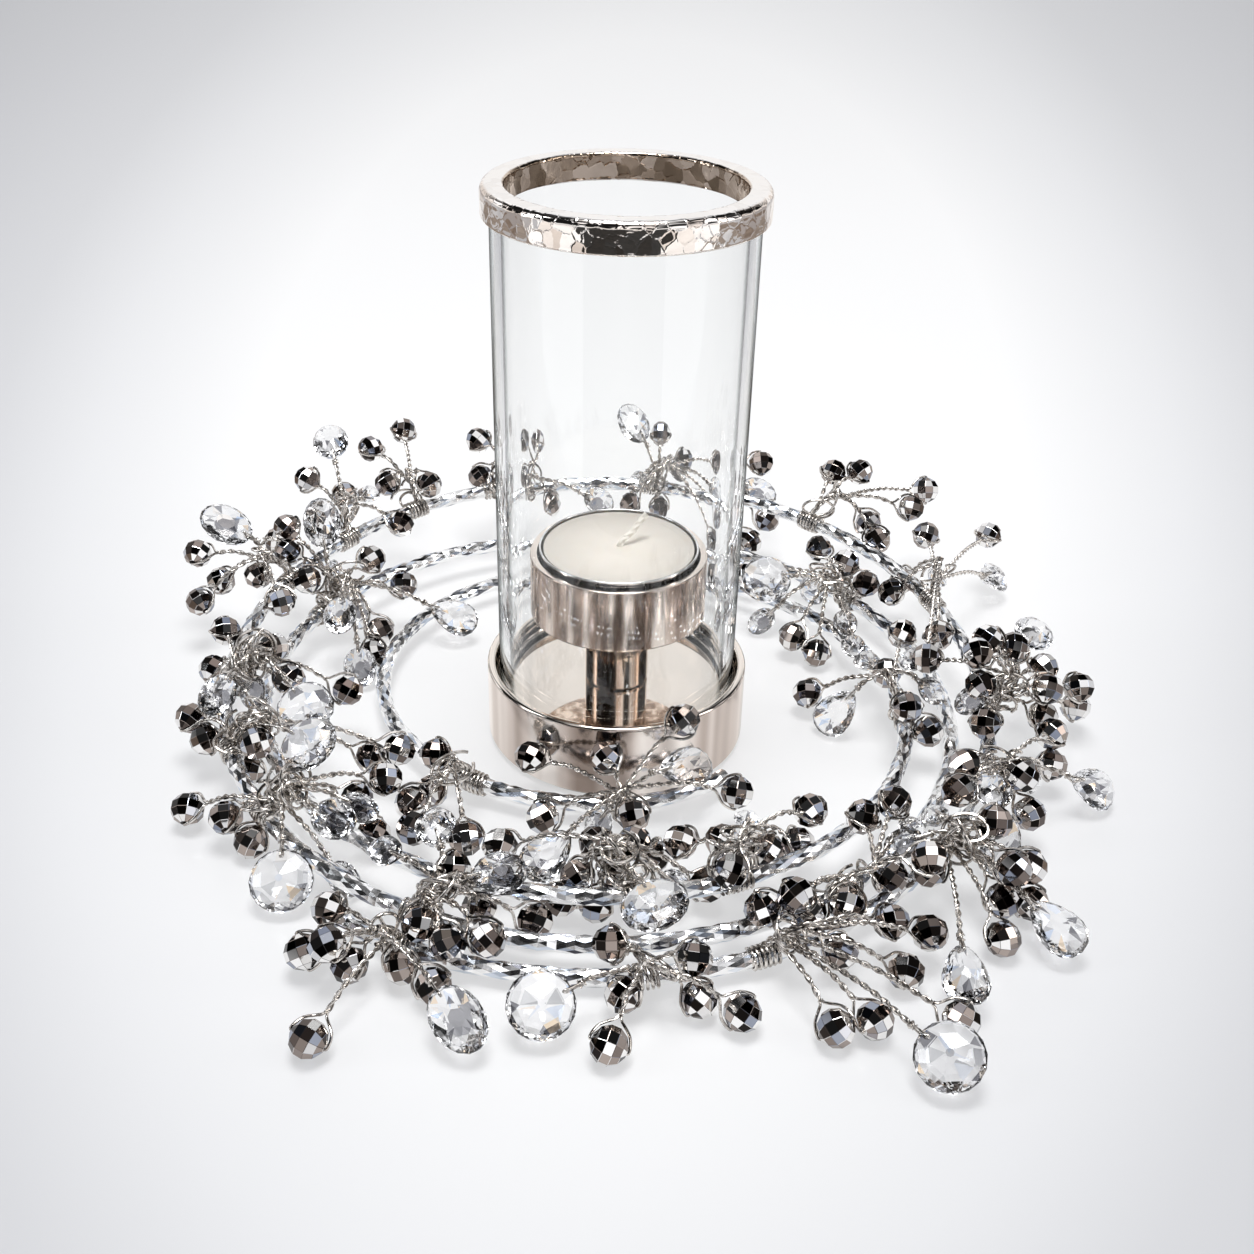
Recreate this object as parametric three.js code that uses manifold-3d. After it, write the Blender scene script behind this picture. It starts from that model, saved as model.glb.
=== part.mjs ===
// Crystal tealight holder: a turned metal base, stem and cup, a tealight, a glass chimney with a
// metal rim, and a loose wreath of wound wire that carries beaded sprays and cut crystals.
// Millimetres, +Z up, origin under the middle of the base on the surface that it stands on.
import * as THREE from 'three';
import { mergeVertices } from 'three/addons/utils/BufferGeometryUtils.js';
import { ConvexGeometry } from 'three/addons/geometries/ConvexGeometry.js';
import Module from 'manifold-3d';

// Clearances
const FIT = 0.3;
const WREATH_GAP = 0.35;

// Tealight
const CAN_DIAMETER = 38;
const CAN_HEIGHT = 15;
const CAN_WALL = 0.4;
const CAN_ROLL = 0.3;
const CAN_CORNER = 1.2;
const WAX_BELOW_RIM = 0.9;
const WAX_MENISCUS = 0.4;
const WICK_DIAMETER = 1.6;
const WICK_LENGTH = 9;
const WICK_LEAN = 5.5;
const WICK_LEAN_ANGLE = 25;
const TAB_DIAMETER = 12;
const TAB_THICKNESS = 0.4;
const TAB_COLLAR_HEIGHT = 2.6;
const TAB_COLLAR_WALL = 0.5;

// Cup, stem and their screws
const CUP_PLAY = 0.6;
const CUP_WALL = 1.9;
const CUP_DEPTH = 14;
const CUP_FLOOR = 2;
const CUP_EDGE = 0.7;
const STEM_DIAMETER = 15.8;
const STEM_HEIGHT = 19.9;
const STEM_EDGE = 0.5;
const SCREW_DIAMETER = 4;
const SCREW_HEAD_DIAMETER = 8.4;
const SCREW_HEAD_HEIGHT = 2;
const SCREW_BITE = 7;
const SCREW_SOCKET_DIAMETER = 3;
const SCREW_SOCKET_DEPTH = 1.4;

// Base and its pad
const PAD_THICKNESS = 1;
const PAD_INSET = 1.5;
const BASE_FLOOR = 14.6;
const BASE_EDGE = 0.9;
const DISH_DEPTH = 5;
const DISH_WALL = 2.1;
const DISH_CORNER = 1;
const POCKET_DIAMETER = 13;
const POCKET_ROOF = 5;

// Glass chimney and its rim
const AIR_GAP = 5.4;
const GLASS_WALL = 2.5;
const GLASS_LENGTH = 121.6;
const GLASS_EDGE = 0.6;
const GLASS_PLAY = 1;
const RIM_WALL = 1.6;
const RIM_LIP = 0.7;
const RIM_CAP = 1.3;
const RIM_SKIRT = 7;
const RIM_INNER_SKIRT = 6;
const RIM_ROUND = 1.2;

// Garland wire: its distance from the base and its height at every half turn, from the front inside
const GARLAND_DIAMETER = 3;
const GARLAND_GAPS = [11.5, 36.5, 51.5, 53.5, 59.5, 64.5, 66.5];
const GARLAND_HEIGHTS = [5, 6, 12, 8, 6, 22, 3.5];
const GARLAND_SHIFT = new THREE.Vector2(-4, 3);
const GARLAND_FIRST_STEP = -3;
const GARLAND_LAST_STEP = 74;
const STEPS_PER_LOOP = 24;
const GARLAND_SIDES = 6;

// Sprays
const BINDING_LENGTH = 5;
const BINDING_WALL = 0.8;
const STALK_DIAMETER = 2;
const STALK_RISE = 8;
const STALK_LEAN = 8;
const STALK_BARE = 0.3;
const BRANCH_DIAMETER = 1.1;
const BRANCH_ARCH = 2;
const BEAD_DIAMETER = 7.8;

// Crystals
const OCTAGON_WIDTH = 14;
const OVAL_LENGTH = 15;
const OVAL_WIDTH = 10.5;
const DROP_LENGTH = 14;
const DROP_WIDTH = 9.5;
const DROP_TAPER = 0.3;
const CRYSTAL_DEPTH = 5.5;
const CRYSTAL_GIRDLE = 0.8;
const CRYSTAL_TABLE = 0.55;
const CRYSTAL_FACING = new THREE.Vector3(0, -0.6, 0.8);

// Facets
const TURNED_SIDES = 28;
const INNER_TURNED_SIDES = 20;
const SMALL_TURNED_SIDES = 12;
const EDGE_STEPS = 2;
const STONE_SIDES = 8;
const BEAD_SIDES = 6;
const BEAD_RING_LATITUDE = 30;
const BINDING_SIDES = 5;
const STALK_SIDES = 3;
const BRANCH_SIDES = 3;
const WICK_SIDES = 6;
const WICK_STEPS = 8;
const WELD = 1e-4;

// Settling of the wreath: search margin, least share of a push, longest push and when to stop
const PAIR_MARGIN = 8;
const LEAST_FOLLOW = 0.15;
const SETTLE_STRIDE = 0.8;
const SETTLE_ROUNDS = 3000;
const ROUNDS_PER_SEARCH = 25;
const SETTLED = 0.02;

// A tip of a spray: degrees round the wreath and millimetres outward from the spray's root, and its
// height above the table
const tip = (cut) => (sweep, reach, height) => ({ cut, sweep, reach, height });
const bead = tip('bead');
const octagon = tip('octagon');
const oval = tip('oval');
const drop = tip('drop');

// Sprays in the order of the wound wire from its outer end; step is the stretch of wire at the root
const SPRAYS = [
  { name: 'front_left', step: 73, tips: [
    bead(0, 31, 4), bead(-7, 16, 6), bead(-4, 12, 9), bead(-3, 12, 5), oval(12, 18, 5), bead(3, 7, 5),
    bead(7, 8, 4), bead(-7, 7, 12)] },
  { name: 'front', step: 71, tips: [
    octagon(-11, 14, 7), bead(-4, 20, 4), bead(-2, 4, 6), bead(-4, -3, 9), bead(6, 3, 8), bead(6, 8, 4),
    bead(10, 14, 4)] },
  { name: 'front_right', step: 70, tips: [
    bead(3, 24, 4), bead(6, 25, 4), octagon(9, 41, 7), bead(13, 34, 6), bead(8, 8, 7), bead(14, 19, 4),
    bead(18, 14, 8), bead(16, 7, 8)] },
  { name: 'right_front', step: 68, tips: [
    drop(-16, 25, 4), bead(-5, 26, 4), drop(-3, 30, 5), bead(-2, 20, 8), bead(0, 23, 5), bead(-2, 19, 14),
    bead(2, 20, 11), bead(0, 11, 16), bead(-6, 7, 12)] },
  { name: 'right', step: 67, tips: [
    bead(-4, 12, 9), bead(-2, 8, 18), bead(9, 19, 9), bead(10, 16, 14), drop(8, 23, 5), oval(-4, 4, 12),
    bead(-5, 0, 20), bead(-10, -2, 18)] },
  { name: 'right_back', step: 66, tips: [
    bead(-7, -1, 18), bead(1, 14, 14), bead(8, 26, 8), bead(7, 25, 14), bead(1, 14, 20), bead(-1, -3, 24),
    bead(7, 15, 20), bead(4, 6, 24), oval(13, 15, 24), bead(1, -4, 30), bead(4, -1, 30)] },
  { name: 'back_right_low', step: 64, tips: [
    bead(11, 40, 18), drop(8, 37, 8), bead(12, 15, 24), bead(8, 14, 14), bead(-14, -9, 20),
    bead(-24, -16, 22), bead(8, -3, 14), bead(10, 2, 16)] },
  { name: 'back_right_high', step: 62, tips: [
    bead(1, 17, 30), bead(-2, 22, 30), bead(-10, 33, 26), bead(-11, 23, 24), bead(-9, 8, 22),
    bead(-12, 5, 20)] },
  { name: 'back', step: 60, tips: [
    oval(2, 7, 34), bead(-1, 14, 34), bead(-7, 9, 28), bead(-16, 17, 26), bead(-18, 5, 22),
    bead(-20, 4, 14), bead(-19, -5, 10), bead(3, 0, 20), bead(-2, 0, 14)] },
  { name: 'back_left_low', step: 58, tips: [
    bead(-18, -3, 20), bead(-7, -4, 18), bead(0, 15, 32), bead(1, 2, 22), bead(-5, 17, 30)] },
  { name: 'back_left_high', step: 57, tips: [
    bead(-5, 27, 34), bead(1, 24, 32), bead(2, 11, 26), bead(-1, 1, 24)] },
  { name: 'left_back_high', step: 56, tips: [
    oval(-8, 28, 36), bead(-2, 22, 30), bead(-5, 13, 26), bead(-8, -7, 22), bead(0, 3, 22)] },
  { name: 'left_high', step: 55, tips: [
    oval(2, 14, 30), bead(3, 27, 22), bead(2, 8, 22), bead(4, 18, 16), bead(8, 20, 14), bead(8, -4, 18)] },
  { name: 'left', step: 53, tips: [
    bead(-12, 4, 16), bead(-5, -10, 20), bead(-6, 6, 12), bead(3, -16, 20), bead(4, -29, 14),
    octagon(14, -19, 18)] },
  { name: 'left_low', step: 52, tips: [
    bead(-8, 10, 10), bead(-5, 3, 12), bead(5, -5, 18), bead(0, 0, 8), octagon(17, -10, 20),
    bead(12, -35, 12), bead(9, -31, 10)] },
  { name: 'left_front', step: 51, tips: [
    bead(-8, 15, 4), bead(-2, 6, 8), bead(0, 3, 6), octagon(11, 2, 7), bead(11, -11, 12), bead(6, -19, 12),
    bead(8, -24, 14)] },
  { name: 'front_left_mid', step: 49, tips: [
    bead(4, 5, 8), bead(7, 8, 5), bead(11, 5, 9), bead(16, -2, 6), bead(-7, -5, 14), bead(4, -5, 14)] },
  { name: 'front_right_low', step: 45, tips: [
    bead(-11, 6, 14), bead(-14, 4, 10), bead(-5, 7, 12), bead(-8, 7, 8), bead(3, 6, 14), bead(7, 14, 18),
    bead(14, 3, 10), bead(12, -2, 18), bead(8, -4, 18)] },
  { name: 'back_right_inner', step: 39, tips: [
    bead(9, 3, 18), bead(1, 0, 18), bead(-3, 3, 14), octagon(3, -9, 14), bead(-13, -15, 10),
    bead(-5, -25, 6), bead(-10, -23, 4), bead(21, -7, 8), bead(11, -24, 4)] },
  { name: 'left_back', step: 31, tips: [
    oval(-4, 4, 20), bead(-11, -4, 20), bead(-12, -14, 14), bead(-7, 21, 26), bead(-5, 17, 22),
    bead(1, 8, 18), drop(-16, -24, 6), bead(0, -17, 8), bead(4, -23, 4)] },
  { name: 'front_mid', step: 23, tips: [
    octagon(1, 10, 20), bead(-8, -18, 10), bead(0, -13, 14), bead(-3, -8, 12), bead(-9, -4, 12),
    bead(-23, -8, 14)] },
  { name: 'front_right_mid', step: 22, tips: [
    bead(-6, -14, 12), bead(2, -12, 12), bead(10, -5, 14), bead(18, -7, 14), bead(16, -5, 10),
    bead(-2, 3, 16)] },
  { name: 'right_inner', step: 18, tips: [
    bead(-4, 1, 16), bead(-5, 2, 10), bead(21, 5, 16), bead(10, -1, 14), bead(12, -21, 5), drop(7, -17, 5)] },
  { name: 'front_left_inner', step: 2, tips: [
    bead(-10, 4, 8), bead(-3, 11, 6), bead(1, 20, 10), bead(5, 24, 8), bead(18, 24, 12)] },
  { name: 'front_inner', step: -1, tips: [
    bead(-34, -7, 11), bead(-4, -7, 16), bead(24, -2, 20), drop(17, 2, 10), bead(-19, 12, 8),
    bead(4, 11, 10), drop(-13, 26, 10), bead(33, 5, 8)] },
];

// Heights and radii that follow from the driving sizes, from the inside out and from the table up
const canRadius = CAN_DIAMETER / 2;
const cupInside = canRadius + CUP_PLAY;
const cupRadius = cupInside + CUP_WALL;
const glassInside = cupRadius + AIR_GAP;
const glassRadius = glassInside + GLASS_WALL;
const dishInside = glassRadius + GLASS_PLAY;
const baseRadius = dishInside + DISH_WALL;
const dishFloor = PAD_THICKNESS + BASE_FLOOR;
const baseTop = dishFloor + DISH_DEPTH;
const stemTop = dishFloor + STEM_HEIGHT;
const cupFloor = stemTop + CUP_FLOOR;
const cupTop = cupFloor + CUP_DEPTH;
const canBottom = cupFloor + FIT;
const canFloor = canBottom + CAN_WALL;
const canTop = canBottom + CAN_HEIGHT;
const waxTop = canTop - WAX_BELOW_RIM;
const glassBottom = dishFloor + FIT;
const glassTop = glassBottom + GLASS_LENGTH;
const rimTop = glassTop + FIT + RIM_CAP;
const screwRadius = SCREW_DIAMETER / 2;
const screwHole = screwRadius + FIT;
const screwHead = SCREW_HEAD_DIAMETER / 2;
const pocketRoof = dishFloor - POCKET_ROOF;
const wickRadius = WICK_DIAMETER / 2;
const garlandRadius = GARLAND_DIAMETER / 2;
const stalkRadius = STALK_DIAMETER / 2;
const branchRadius = BRANCH_DIAMETER / 2;
const beadRadius = BEAD_DIAMETER / 2;
const UP = new THREE.Vector3(0, 0, 1);

const wasm = await Module();
wasm.setup();

// Closed body with its shared corners welded and the flat triangles on a lathe's axis left out
function closedBody(geometry) {
  geometry.deleteAttribute('normal');
  geometry.deleteAttribute('uv');
  const body = mergeVertices(geometry, WELD);
  const corners = body.index.array;
  const kept = [];
  for (let i = 0; i < corners.length; i += 3) {
    const [a, b, c] = corners.slice(i, i + 3);
    if (a !== b && b !== c && c !== a) kept.push(a, b, c);
  }
  body.setIndex(kept);
  return body;
}

function solidOf(geometry) {
  const body = closedBody(geometry);
  const mesh = new wasm.Mesh({
    numProp: 3,
    vertProperties: new Float32Array(body.attributes.position.array),
    triVerts: new Uint32Array(body.index.array),
  });
  return new wasm.Manifold(mesh);
}

function geometryOf(solid) {
  const mesh = solid.getMesh();
  const geometry = new THREE.BufferGeometry();
  geometry.setAttribute('position', new THREE.BufferAttribute(mesh.vertProperties, 3));
  geometry.setIndex(new THREE.BufferAttribute(mesh.triVerts, 1));
  return geometry;
}

// Quarter round between two corners of a profile, from one angle to the other about its centre
function quarter(radius, height, round, from, to) {
  const corners = [];
  for (let i = 0; i <= EDGE_STEPS; i += 1) {
    const angle = THREE.MathUtils.degToRad(from + (to - from) * i / EDGE_STEPS);
    corners.push([radius + round * Math.cos(angle), height + round * Math.sin(angle)]);
  }
  return corners;
}

// Piece turned about the upright axis from [radius, height] corners, up its outside and back down inside
function turned(corners, sides = TURNED_SIDES) {
  const profile = corners.map(([radius, height]) => new THREE.Vector2(radius, height));
  const geometry = new THREE.LatheGeometry(profile, sides);
  return closedBody(geometry.rotateX(Math.PI / 2));
}

function turnedRing(corners, sides) {
  return turned([...corners, corners[0]], sides);
}

function polygon(radius, sides) {
  const points = [];
  for (let i = 0; i < sides; i += 1) {
    const angle = 2 * Math.PI * i / sides;
    points.push(new THREE.Vector2(radius * Math.cos(angle), radius * Math.sin(angle)));
  }
  return new THREE.Shape(points);
}

function tube(path, radius, sides, steps) {
  return new THREE.ExtrudeGeometry(polygon(radius, sides), { steps, extrudePath: path, bevelEnabled: false });
}

// Holder: felt pad, base with its dish, stem, cup and the two screws that hold them together
function feltPad() {
  const radius = baseRadius - PAD_INSET;
  return turned([[0, 0], [radius, 0], [radius, PAD_THICKNESS], [0, PAD_THICKNESS]]);
}

function baseDish() {
  const pocket = POCKET_DIAMETER / 2;
  return turnedRing([
    [pocket, PAD_THICKNESS],
    ...quarter(baseRadius - BASE_EDGE, PAD_THICKNESS + BASE_EDGE, BASE_EDGE, -90, 0),
    ...quarter(baseRadius - BASE_EDGE, baseTop - BASE_EDGE, BASE_EDGE, 0, 90),
    [dishInside, baseTop],
    ...quarter(dishInside - DISH_CORNER, dishFloor + DISH_CORNER, DISH_CORNER, 0, -90),
    [screwHole, dishFloor],
    [screwHole, pocketRoof],
    [pocket, pocketRoof],
  ]);
}

function stem() {
  const radius = STEM_DIAMETER / 2;
  const lowerBore = dishFloor + SCREW_BITE + FIT;
  const upperBore = stemTop - SCREW_BITE - FIT;
  return turned([
    [0, lowerBore],
    [screwHole, lowerBore],
    [screwHole, dishFloor],
    [radius - STEM_EDGE, dishFloor],
    [radius, dishFloor + STEM_EDGE],
    [radius, stemTop - STEM_EDGE],
    [radius - STEM_EDGE, stemTop],
    [screwHole, stemTop],
    [screwHole, upperBore],
    [0, upperBore],
  ], INNER_TURNED_SIDES);
}

function cup() {
  const sinkDepth = SCREW_HEAD_HEIGHT - FIT;
  return turnedRing([
    [screwHole, stemTop],
    ...quarter(cupRadius - CUP_EDGE, stemTop + CUP_EDGE, CUP_EDGE, -90, 0),
    ...quarter(cupRadius - CUP_EDGE, cupTop - CUP_EDGE, CUP_EDGE, 0, 90),
    [cupInside, cupTop],
    [cupInside, cupFloor],
    [screwHead + FIT, cupFloor],
    [screwHole, cupFloor - sinkDepth],
  ]);
}

// Pan-head screw up through the base, with a hexagon socket
function baseScrew() {
  const headBottom = pocketRoof - SCREW_HEAD_HEIGHT;
  const tipHeight = dishFloor + SCREW_BITE;
  const socket = SCREW_SOCKET_DIAMETER / 2;
  const body = turned([
    [0, headBottom],
    [screwHead - FIT, headBottom],
    [screwHead, headBottom + FIT],
    [screwHead, pocketRoof],
    [screwRadius, pocketRoof],
    [screwRadius, tipHeight - FIT],
    [screwRadius - FIT, tipHeight],
    [0, tipHeight],
  ], SMALL_TURNED_SIDES);
  const hexagon = new THREE.CylinderGeometry(socket, socket, 2 * SCREW_SOCKET_DEPTH, 6).rotateX(Math.PI / 2);
  return geometryOf(solidOf(body).subtract(solidOf(hexagon.translate(0, 0, headBottom))));
}

// Countersunk screw down through the cup's floor, with a hexagon socket
function cupScrew() {
  const headTop = cupFloor - FIT;
  const neck = headTop - SCREW_HEAD_HEIGHT + 2 * FIT;
  const tipHeight = stemTop - SCREW_BITE;
  const socket = SCREW_SOCKET_DIAMETER / 2;
  const body = turned([
    [0, tipHeight],
    [screwRadius - FIT, tipHeight],
    [screwRadius, tipHeight + FIT],
    [screwRadius, neck],
    [screwHead - FIT, headTop],
    [0, headTop],
  ], SMALL_TURNED_SIDES);
  const hexagon = new THREE.CylinderGeometry(socket, socket, 2 * SCREW_SOCKET_DEPTH, 6).rotateX(Math.PI / 2);
  return geometryOf(solidOf(body).subtract(solidOf(hexagon.translate(0, 0, headTop))));
}

// Tealight: rolled-rim can, wax cast round the wick tab, wick and tab
function tealightCan() {
  const inside = canRadius - CAN_WALL;
  const rolled = canRadius + CAN_ROLL;
  return turned([
    [0, canBottom],
    ...quarter(canRadius - CAN_CORNER, canBottom + CAN_CORNER, CAN_CORNER, -90, 0),
    [canRadius, canTop - 3 * CAN_ROLL],
    [rolled, canTop - 2 * CAN_ROLL],
    [rolled, canTop - CAN_ROLL],
    [canRadius, canTop],
    [inside, canTop],
    ...quarter(inside - CAN_CORNER, canFloor + CAN_CORNER, CAN_CORNER, 0, -90),
    [0, canFloor],
  ]);
}

const wickBore = wickRadius + FIT;
const collarRadius = wickBore + TAB_COLLAR_WALL;
const tabTop = canFloor + TAB_THICKNESS;
const collarTop = tabTop + TAB_COLLAR_HEIGHT;

function wax() {
  const radius = canRadius - CAN_WALL - FIT;
  const corner = CAN_CORNER + FIT;
  const tabPocket = TAB_DIAMETER / 2 + FIT;
  return turnedRing([
    [tabPocket, canFloor],
    ...quarter(radius - corner, canFloor + corner, corner, -90, 0),
    [radius, waxTop + WAX_MENISCUS],
    [radius - WAX_MENISCUS, waxTop + WAX_MENISCUS / 3],
    [radius - 3 * WAX_MENISCUS, waxTop],
    [wickBore + WAX_MENISCUS, waxTop],
    [wickBore, waxTop + WAX_MENISCUS],
    [wickBore, collarTop + FIT],
    [collarRadius + FIT, collarTop + FIT],
    [collarRadius + FIT, tabTop + FIT],
    [tabPocket, tabTop + FIT],
  ], INNER_TURNED_SIDES);
}

function wickTab() {
  const radius = TAB_DIAMETER / 2;
  return turned([
    [0, canFloor],
    [radius, canFloor],
    [radius, tabTop],
    [collarRadius, tabTop],
    [collarRadius, collarTop],
    [wickBore, collarTop],
    [wickBore, tabTop],
    [0, tabTop],
  ], SMALL_TURNED_SIDES);
}

function wick() {
  const angle = THREE.MathUtils.degToRad(WICK_LEAN_ANGLE);
  const foot = new THREE.Vector3(0, 0, tabTop + FIT);
  const leaving = new THREE.Vector3(0, 0, waxTop + WAX_MENISCUS);
  const bend = new THREE.Vector3(0, 0, leaving.z + WICK_LENGTH / 2);
  const end = new THREE.Vector3(Math.cos(angle), Math.sin(angle), 0).multiplyScalar(WICK_LEAN);
  end.z = waxTop + WICK_LENGTH;
  const path = new THREE.CurvePath();
  path.add(new THREE.LineCurve3(foot, leaving));
  path.add(new THREE.QuadraticBezierCurve3(leaving, bend, end));
  return tube(path, wickRadius, WICK_SIDES, WICK_STEPS);
}

// Chimney: glass tube standing in the dish, and the metal rim that caps its upper edge
function glassTube() {
  return turnedRing([
    [glassInside + GLASS_EDGE, glassBottom],
    [glassRadius - GLASS_EDGE, glassBottom],
    [glassRadius, glassBottom + GLASS_EDGE],
    [glassRadius, glassTop - GLASS_EDGE],
    [glassRadius - GLASS_EDGE, glassTop],
    [glassInside + GLASS_EDGE, glassTop],
    [glassInside, glassTop - GLASS_EDGE],
    [glassInside, glassBottom + GLASS_EDGE],
  ]);
}

function rimRing() {
  const channelOut = glassRadius + FIT;
  const channelIn = glassInside - FIT;
  const channelRoof = glassTop + FIT;
  const outside = channelOut + RIM_WALL;
  const inside = channelIn - RIM_LIP;
  return turnedRing([
    [channelOut, rimTop - RIM_SKIRT],
    ...quarter(outside - RIM_LIP, rimTop - RIM_SKIRT + RIM_LIP, RIM_LIP, -90, 0),
    ...quarter(outside - RIM_ROUND, rimTop - RIM_ROUND, RIM_ROUND, 0, 90),
    ...quarter(inside + RIM_ROUND, rimTop - RIM_ROUND, RIM_ROUND, 90, 180),
    [inside, rimTop - RIM_INNER_SKIRT],
    [channelIn, rimTop - RIM_INNER_SKIRT],
    [channelIn, channelRoof],
    [channelOut, channelRoof],
  ]);
}

// Garland: one wire wound clockwise from the inside front, easing from one half turn to the next
function garlandPoint(step) {
  const turn = step / STEPS_PER_LOOP;
  const last = GARLAND_GAPS.length - 1;
  const station = THREE.MathUtils.clamp(2 * turn, 0, last);
  const from = Math.min(Math.floor(station), last - 1);
  const ease = (1 - Math.cos(Math.PI * (station - from))) / 2;
  const radius = baseRadius + THREE.MathUtils.lerp(GARLAND_GAPS[from], GARLAND_GAPS[from + 1], ease);
  const height = THREE.MathUtils.lerp(GARLAND_HEIGHTS[from], GARLAND_HEIGHTS[from + 1], ease);
  const angle = -Math.PI / 2 - 2 * Math.PI * turn;
  const x = GARLAND_SHIFT.x + radius * Math.cos(angle);
  const y = GARLAND_SHIFT.y + radius * Math.sin(angle);
  return new THREE.Vector3(x, y, height);
}

class GarlandCurve extends THREE.Curve {
  getPoint(t, target = new THREE.Vector3()) {
    return target.copy(garlandPoint(THREE.MathUtils.lerp(GARLAND_FIRST_STEP, GARLAND_LAST_STEP, t)));
  }

  getUtoTmapping(u) {
    return u;
  }
}

// Straight stretches of the wire between its steps
const garlandSteps = GARLAND_LAST_STEP - GARLAND_FIRST_STEP;
const garlandStretches = [];
for (let i = 0; i < garlandSteps; i += 1) {
  const step = GARLAND_FIRST_STEP + i;
  garlandStretches.push({ a: garlandPoint(step), b: garlandPoint(step + 1), radius: garlandRadius });
}

// Nearest points of two straight stretches, as fractions along each, with the way between them
function nearest(first, second) {
  const along = first.b.clone().sub(first.a);
  const across = second.b.clone().sub(second.a);
  const apart = first.a.clone().sub(second.a);
  const a = along.lengthSq();
  const e = across.lengthSq();
  const f = across.dot(apart);
  const c = along.dot(apart);
  const b = along.dot(across);
  const clamp = THREE.MathUtils.clamp;
  const spread = a * e - b * b;
  let s = spread > WELD ? clamp((b * f - c * e) / spread, 0, 1) : 0;
  let t = e > WELD ? (b * s + f) / e : 0;
  if (t < 0 || t > 1 || e <= WELD) {
    t = clamp(t, 0, 1);
    s = a > WELD ? clamp((b * t - c) / a, 0, 1) : 0;
  }
  const way = second.a.clone().addScaledVector(across, t).sub(first.a).addScaledVector(along, -s);
  return { s, t, way, distance: way.length() };
}

function garlandLeastGap() {
  let least = Infinity;
  for (let i = 0; i < garlandSteps; i += 1) {
    for (let j = i + STEPS_PER_LOOP / 2; j < garlandSteps; j += 1) {
      least = Math.min(least, nearest(garlandStretches[i], garlandStretches[j]).distance);
    }
  }
  return least - GARLAND_DIAMETER;
}

function garlandWire() {
  return tube(new GarlandCurve(), garlandRadius, GARLAND_SIDES, garlandSteps);
}

// Crystals: outline across the girdle, with a staggered table on both faces; +Y is the wired end
const CRYSTALS = {
  octagon: { length: OCTAGON_WIDTH, width: OCTAGON_WIDTH, taper: 0 },
  oval: { length: OVAL_LENGTH, width: OVAL_WIDTH, taper: 0 },
  drop: { length: DROP_LENGTH, width: DROP_WIDTH, taper: DROP_TAPER },
};

function crystalGeometry({ length, width, taper }) {
  const ring = (scale, turn, height) => {
    const points = [];
    for (let i = 0; i < STONE_SIDES; i += 1) {
      const angle = 2 * Math.PI * (i + turn) / STONE_SIDES;
      const x = scale * width / 2 * Math.sin(angle) * (1 - taper * Math.cos(angle));
      points.push(new THREE.Vector3(x, scale * length / 2 * Math.cos(angle), height));
    }
    return points;
  };
  return new ConvexGeometry([
    ...ring(CRYSTAL_TABLE, 0.5, CRYSTAL_DEPTH / 2),
    ...ring(1, 0, CRYSTAL_GIRDLE / 2),
    ...ring(1, 0, -CRYSTAL_GIRDLE / 2),
    ...ring(CRYSTAL_TABLE, 0.5, -CRYSTAL_DEPTH / 2),
  ]);
}

// Least height of a crystal's centre when it lies tilted on the table
const crystalFloor = (length) => length / 2 * Math.hypot(CRYSTAL_FACING.x, CRYSTAL_FACING.y)
  + CRYSTAL_DEPTH / 2 * CRYSTAL_FACING.z;

// Spray laid out from its root: a stalk that rises and leans towards the tips, and a branch to each tip
function layOut({ name, step, tips }) {
  const a = garlandPoint(step);
  const b = garlandPoint(step + 1);
  const root = a.clone().add(b).multiplyScalar(0.5);
  const rootAngle = Math.atan2(root.y, root.x);
  const rootReach = Math.hypot(root.x, root.y);
  const homes = tips.map(({ sweep, reach, height }) => {
    const angle = rootAngle + THREE.MathUtils.degToRad(sweep);
    const radius = rootReach + reach;
    return new THREE.Vector3(radius * Math.cos(angle), radius * Math.sin(angle), height);
  });
  const lean = homes.reduce((sum, home) => sum.add(home), new THREE.Vector3());
  lean.divideScalar(homes.length).sub(root).setZ(0).setLength(STALK_LEAN);
  const along = b.sub(a).normalize();
  const bore = (garlandRadius + FIT) / Math.cos(Math.PI / BINDING_SIDES);
  const foot = root.clone().addScaledVector(UP, bore + BINDING_WALL / 4);
  const head = foot.clone().addScaledVector(UP, STALK_RISE).add(lean);
  const spray = { name, root, along, bore, foot, head };
  spray.tips = tips.map(({ cut }, i) => {
    const crystal = CRYSTALS[cut];
    const leaves = THREE.MathUtils.lerp(STALK_BARE, 1, tips.length > 1 ? i / (tips.length - 1) : 1);
    return {
      spray,
      crystal,
      centre: homes[i],
      radius: crystal ? crystal.length / 2 : beadRadius,
      floor: crystal ? crystalFloor(crystal.length) : beadRadius,
      start: foot.clone().lerp(head, leaves),
      middle: new THREE.Vector3(),
      end: new THREE.Vector3(),
    };
  });
  spray.tips.forEach(placeBranch);
  return spray;
}

// Branch from the stalk over its arch to the tip; a crystal's branch stops just short of its edge
function placeBranch(tipOfSpray) {
  const { start, centre, middle, end, crystal, radius, floor } = tipOfSpray;
  if (crystal) {
    const least = 2 * (radius + BRANCH_DIAMETER + WREATH_GAP);
    centre.sub(start).setLength(Math.max(centre.length(), least)).add(start);
  }
  centre.z = Math.max(centre.z, floor + WREATH_GAP);
  middle.copy(start).add(centre).multiplyScalar(0.5).addScaledVector(UP, BRANCH_ARCH);
  end.copy(centre);
  if (crystal) end.lerp(middle, (radius + FIT) / centre.distanceTo(middle));
}

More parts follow.
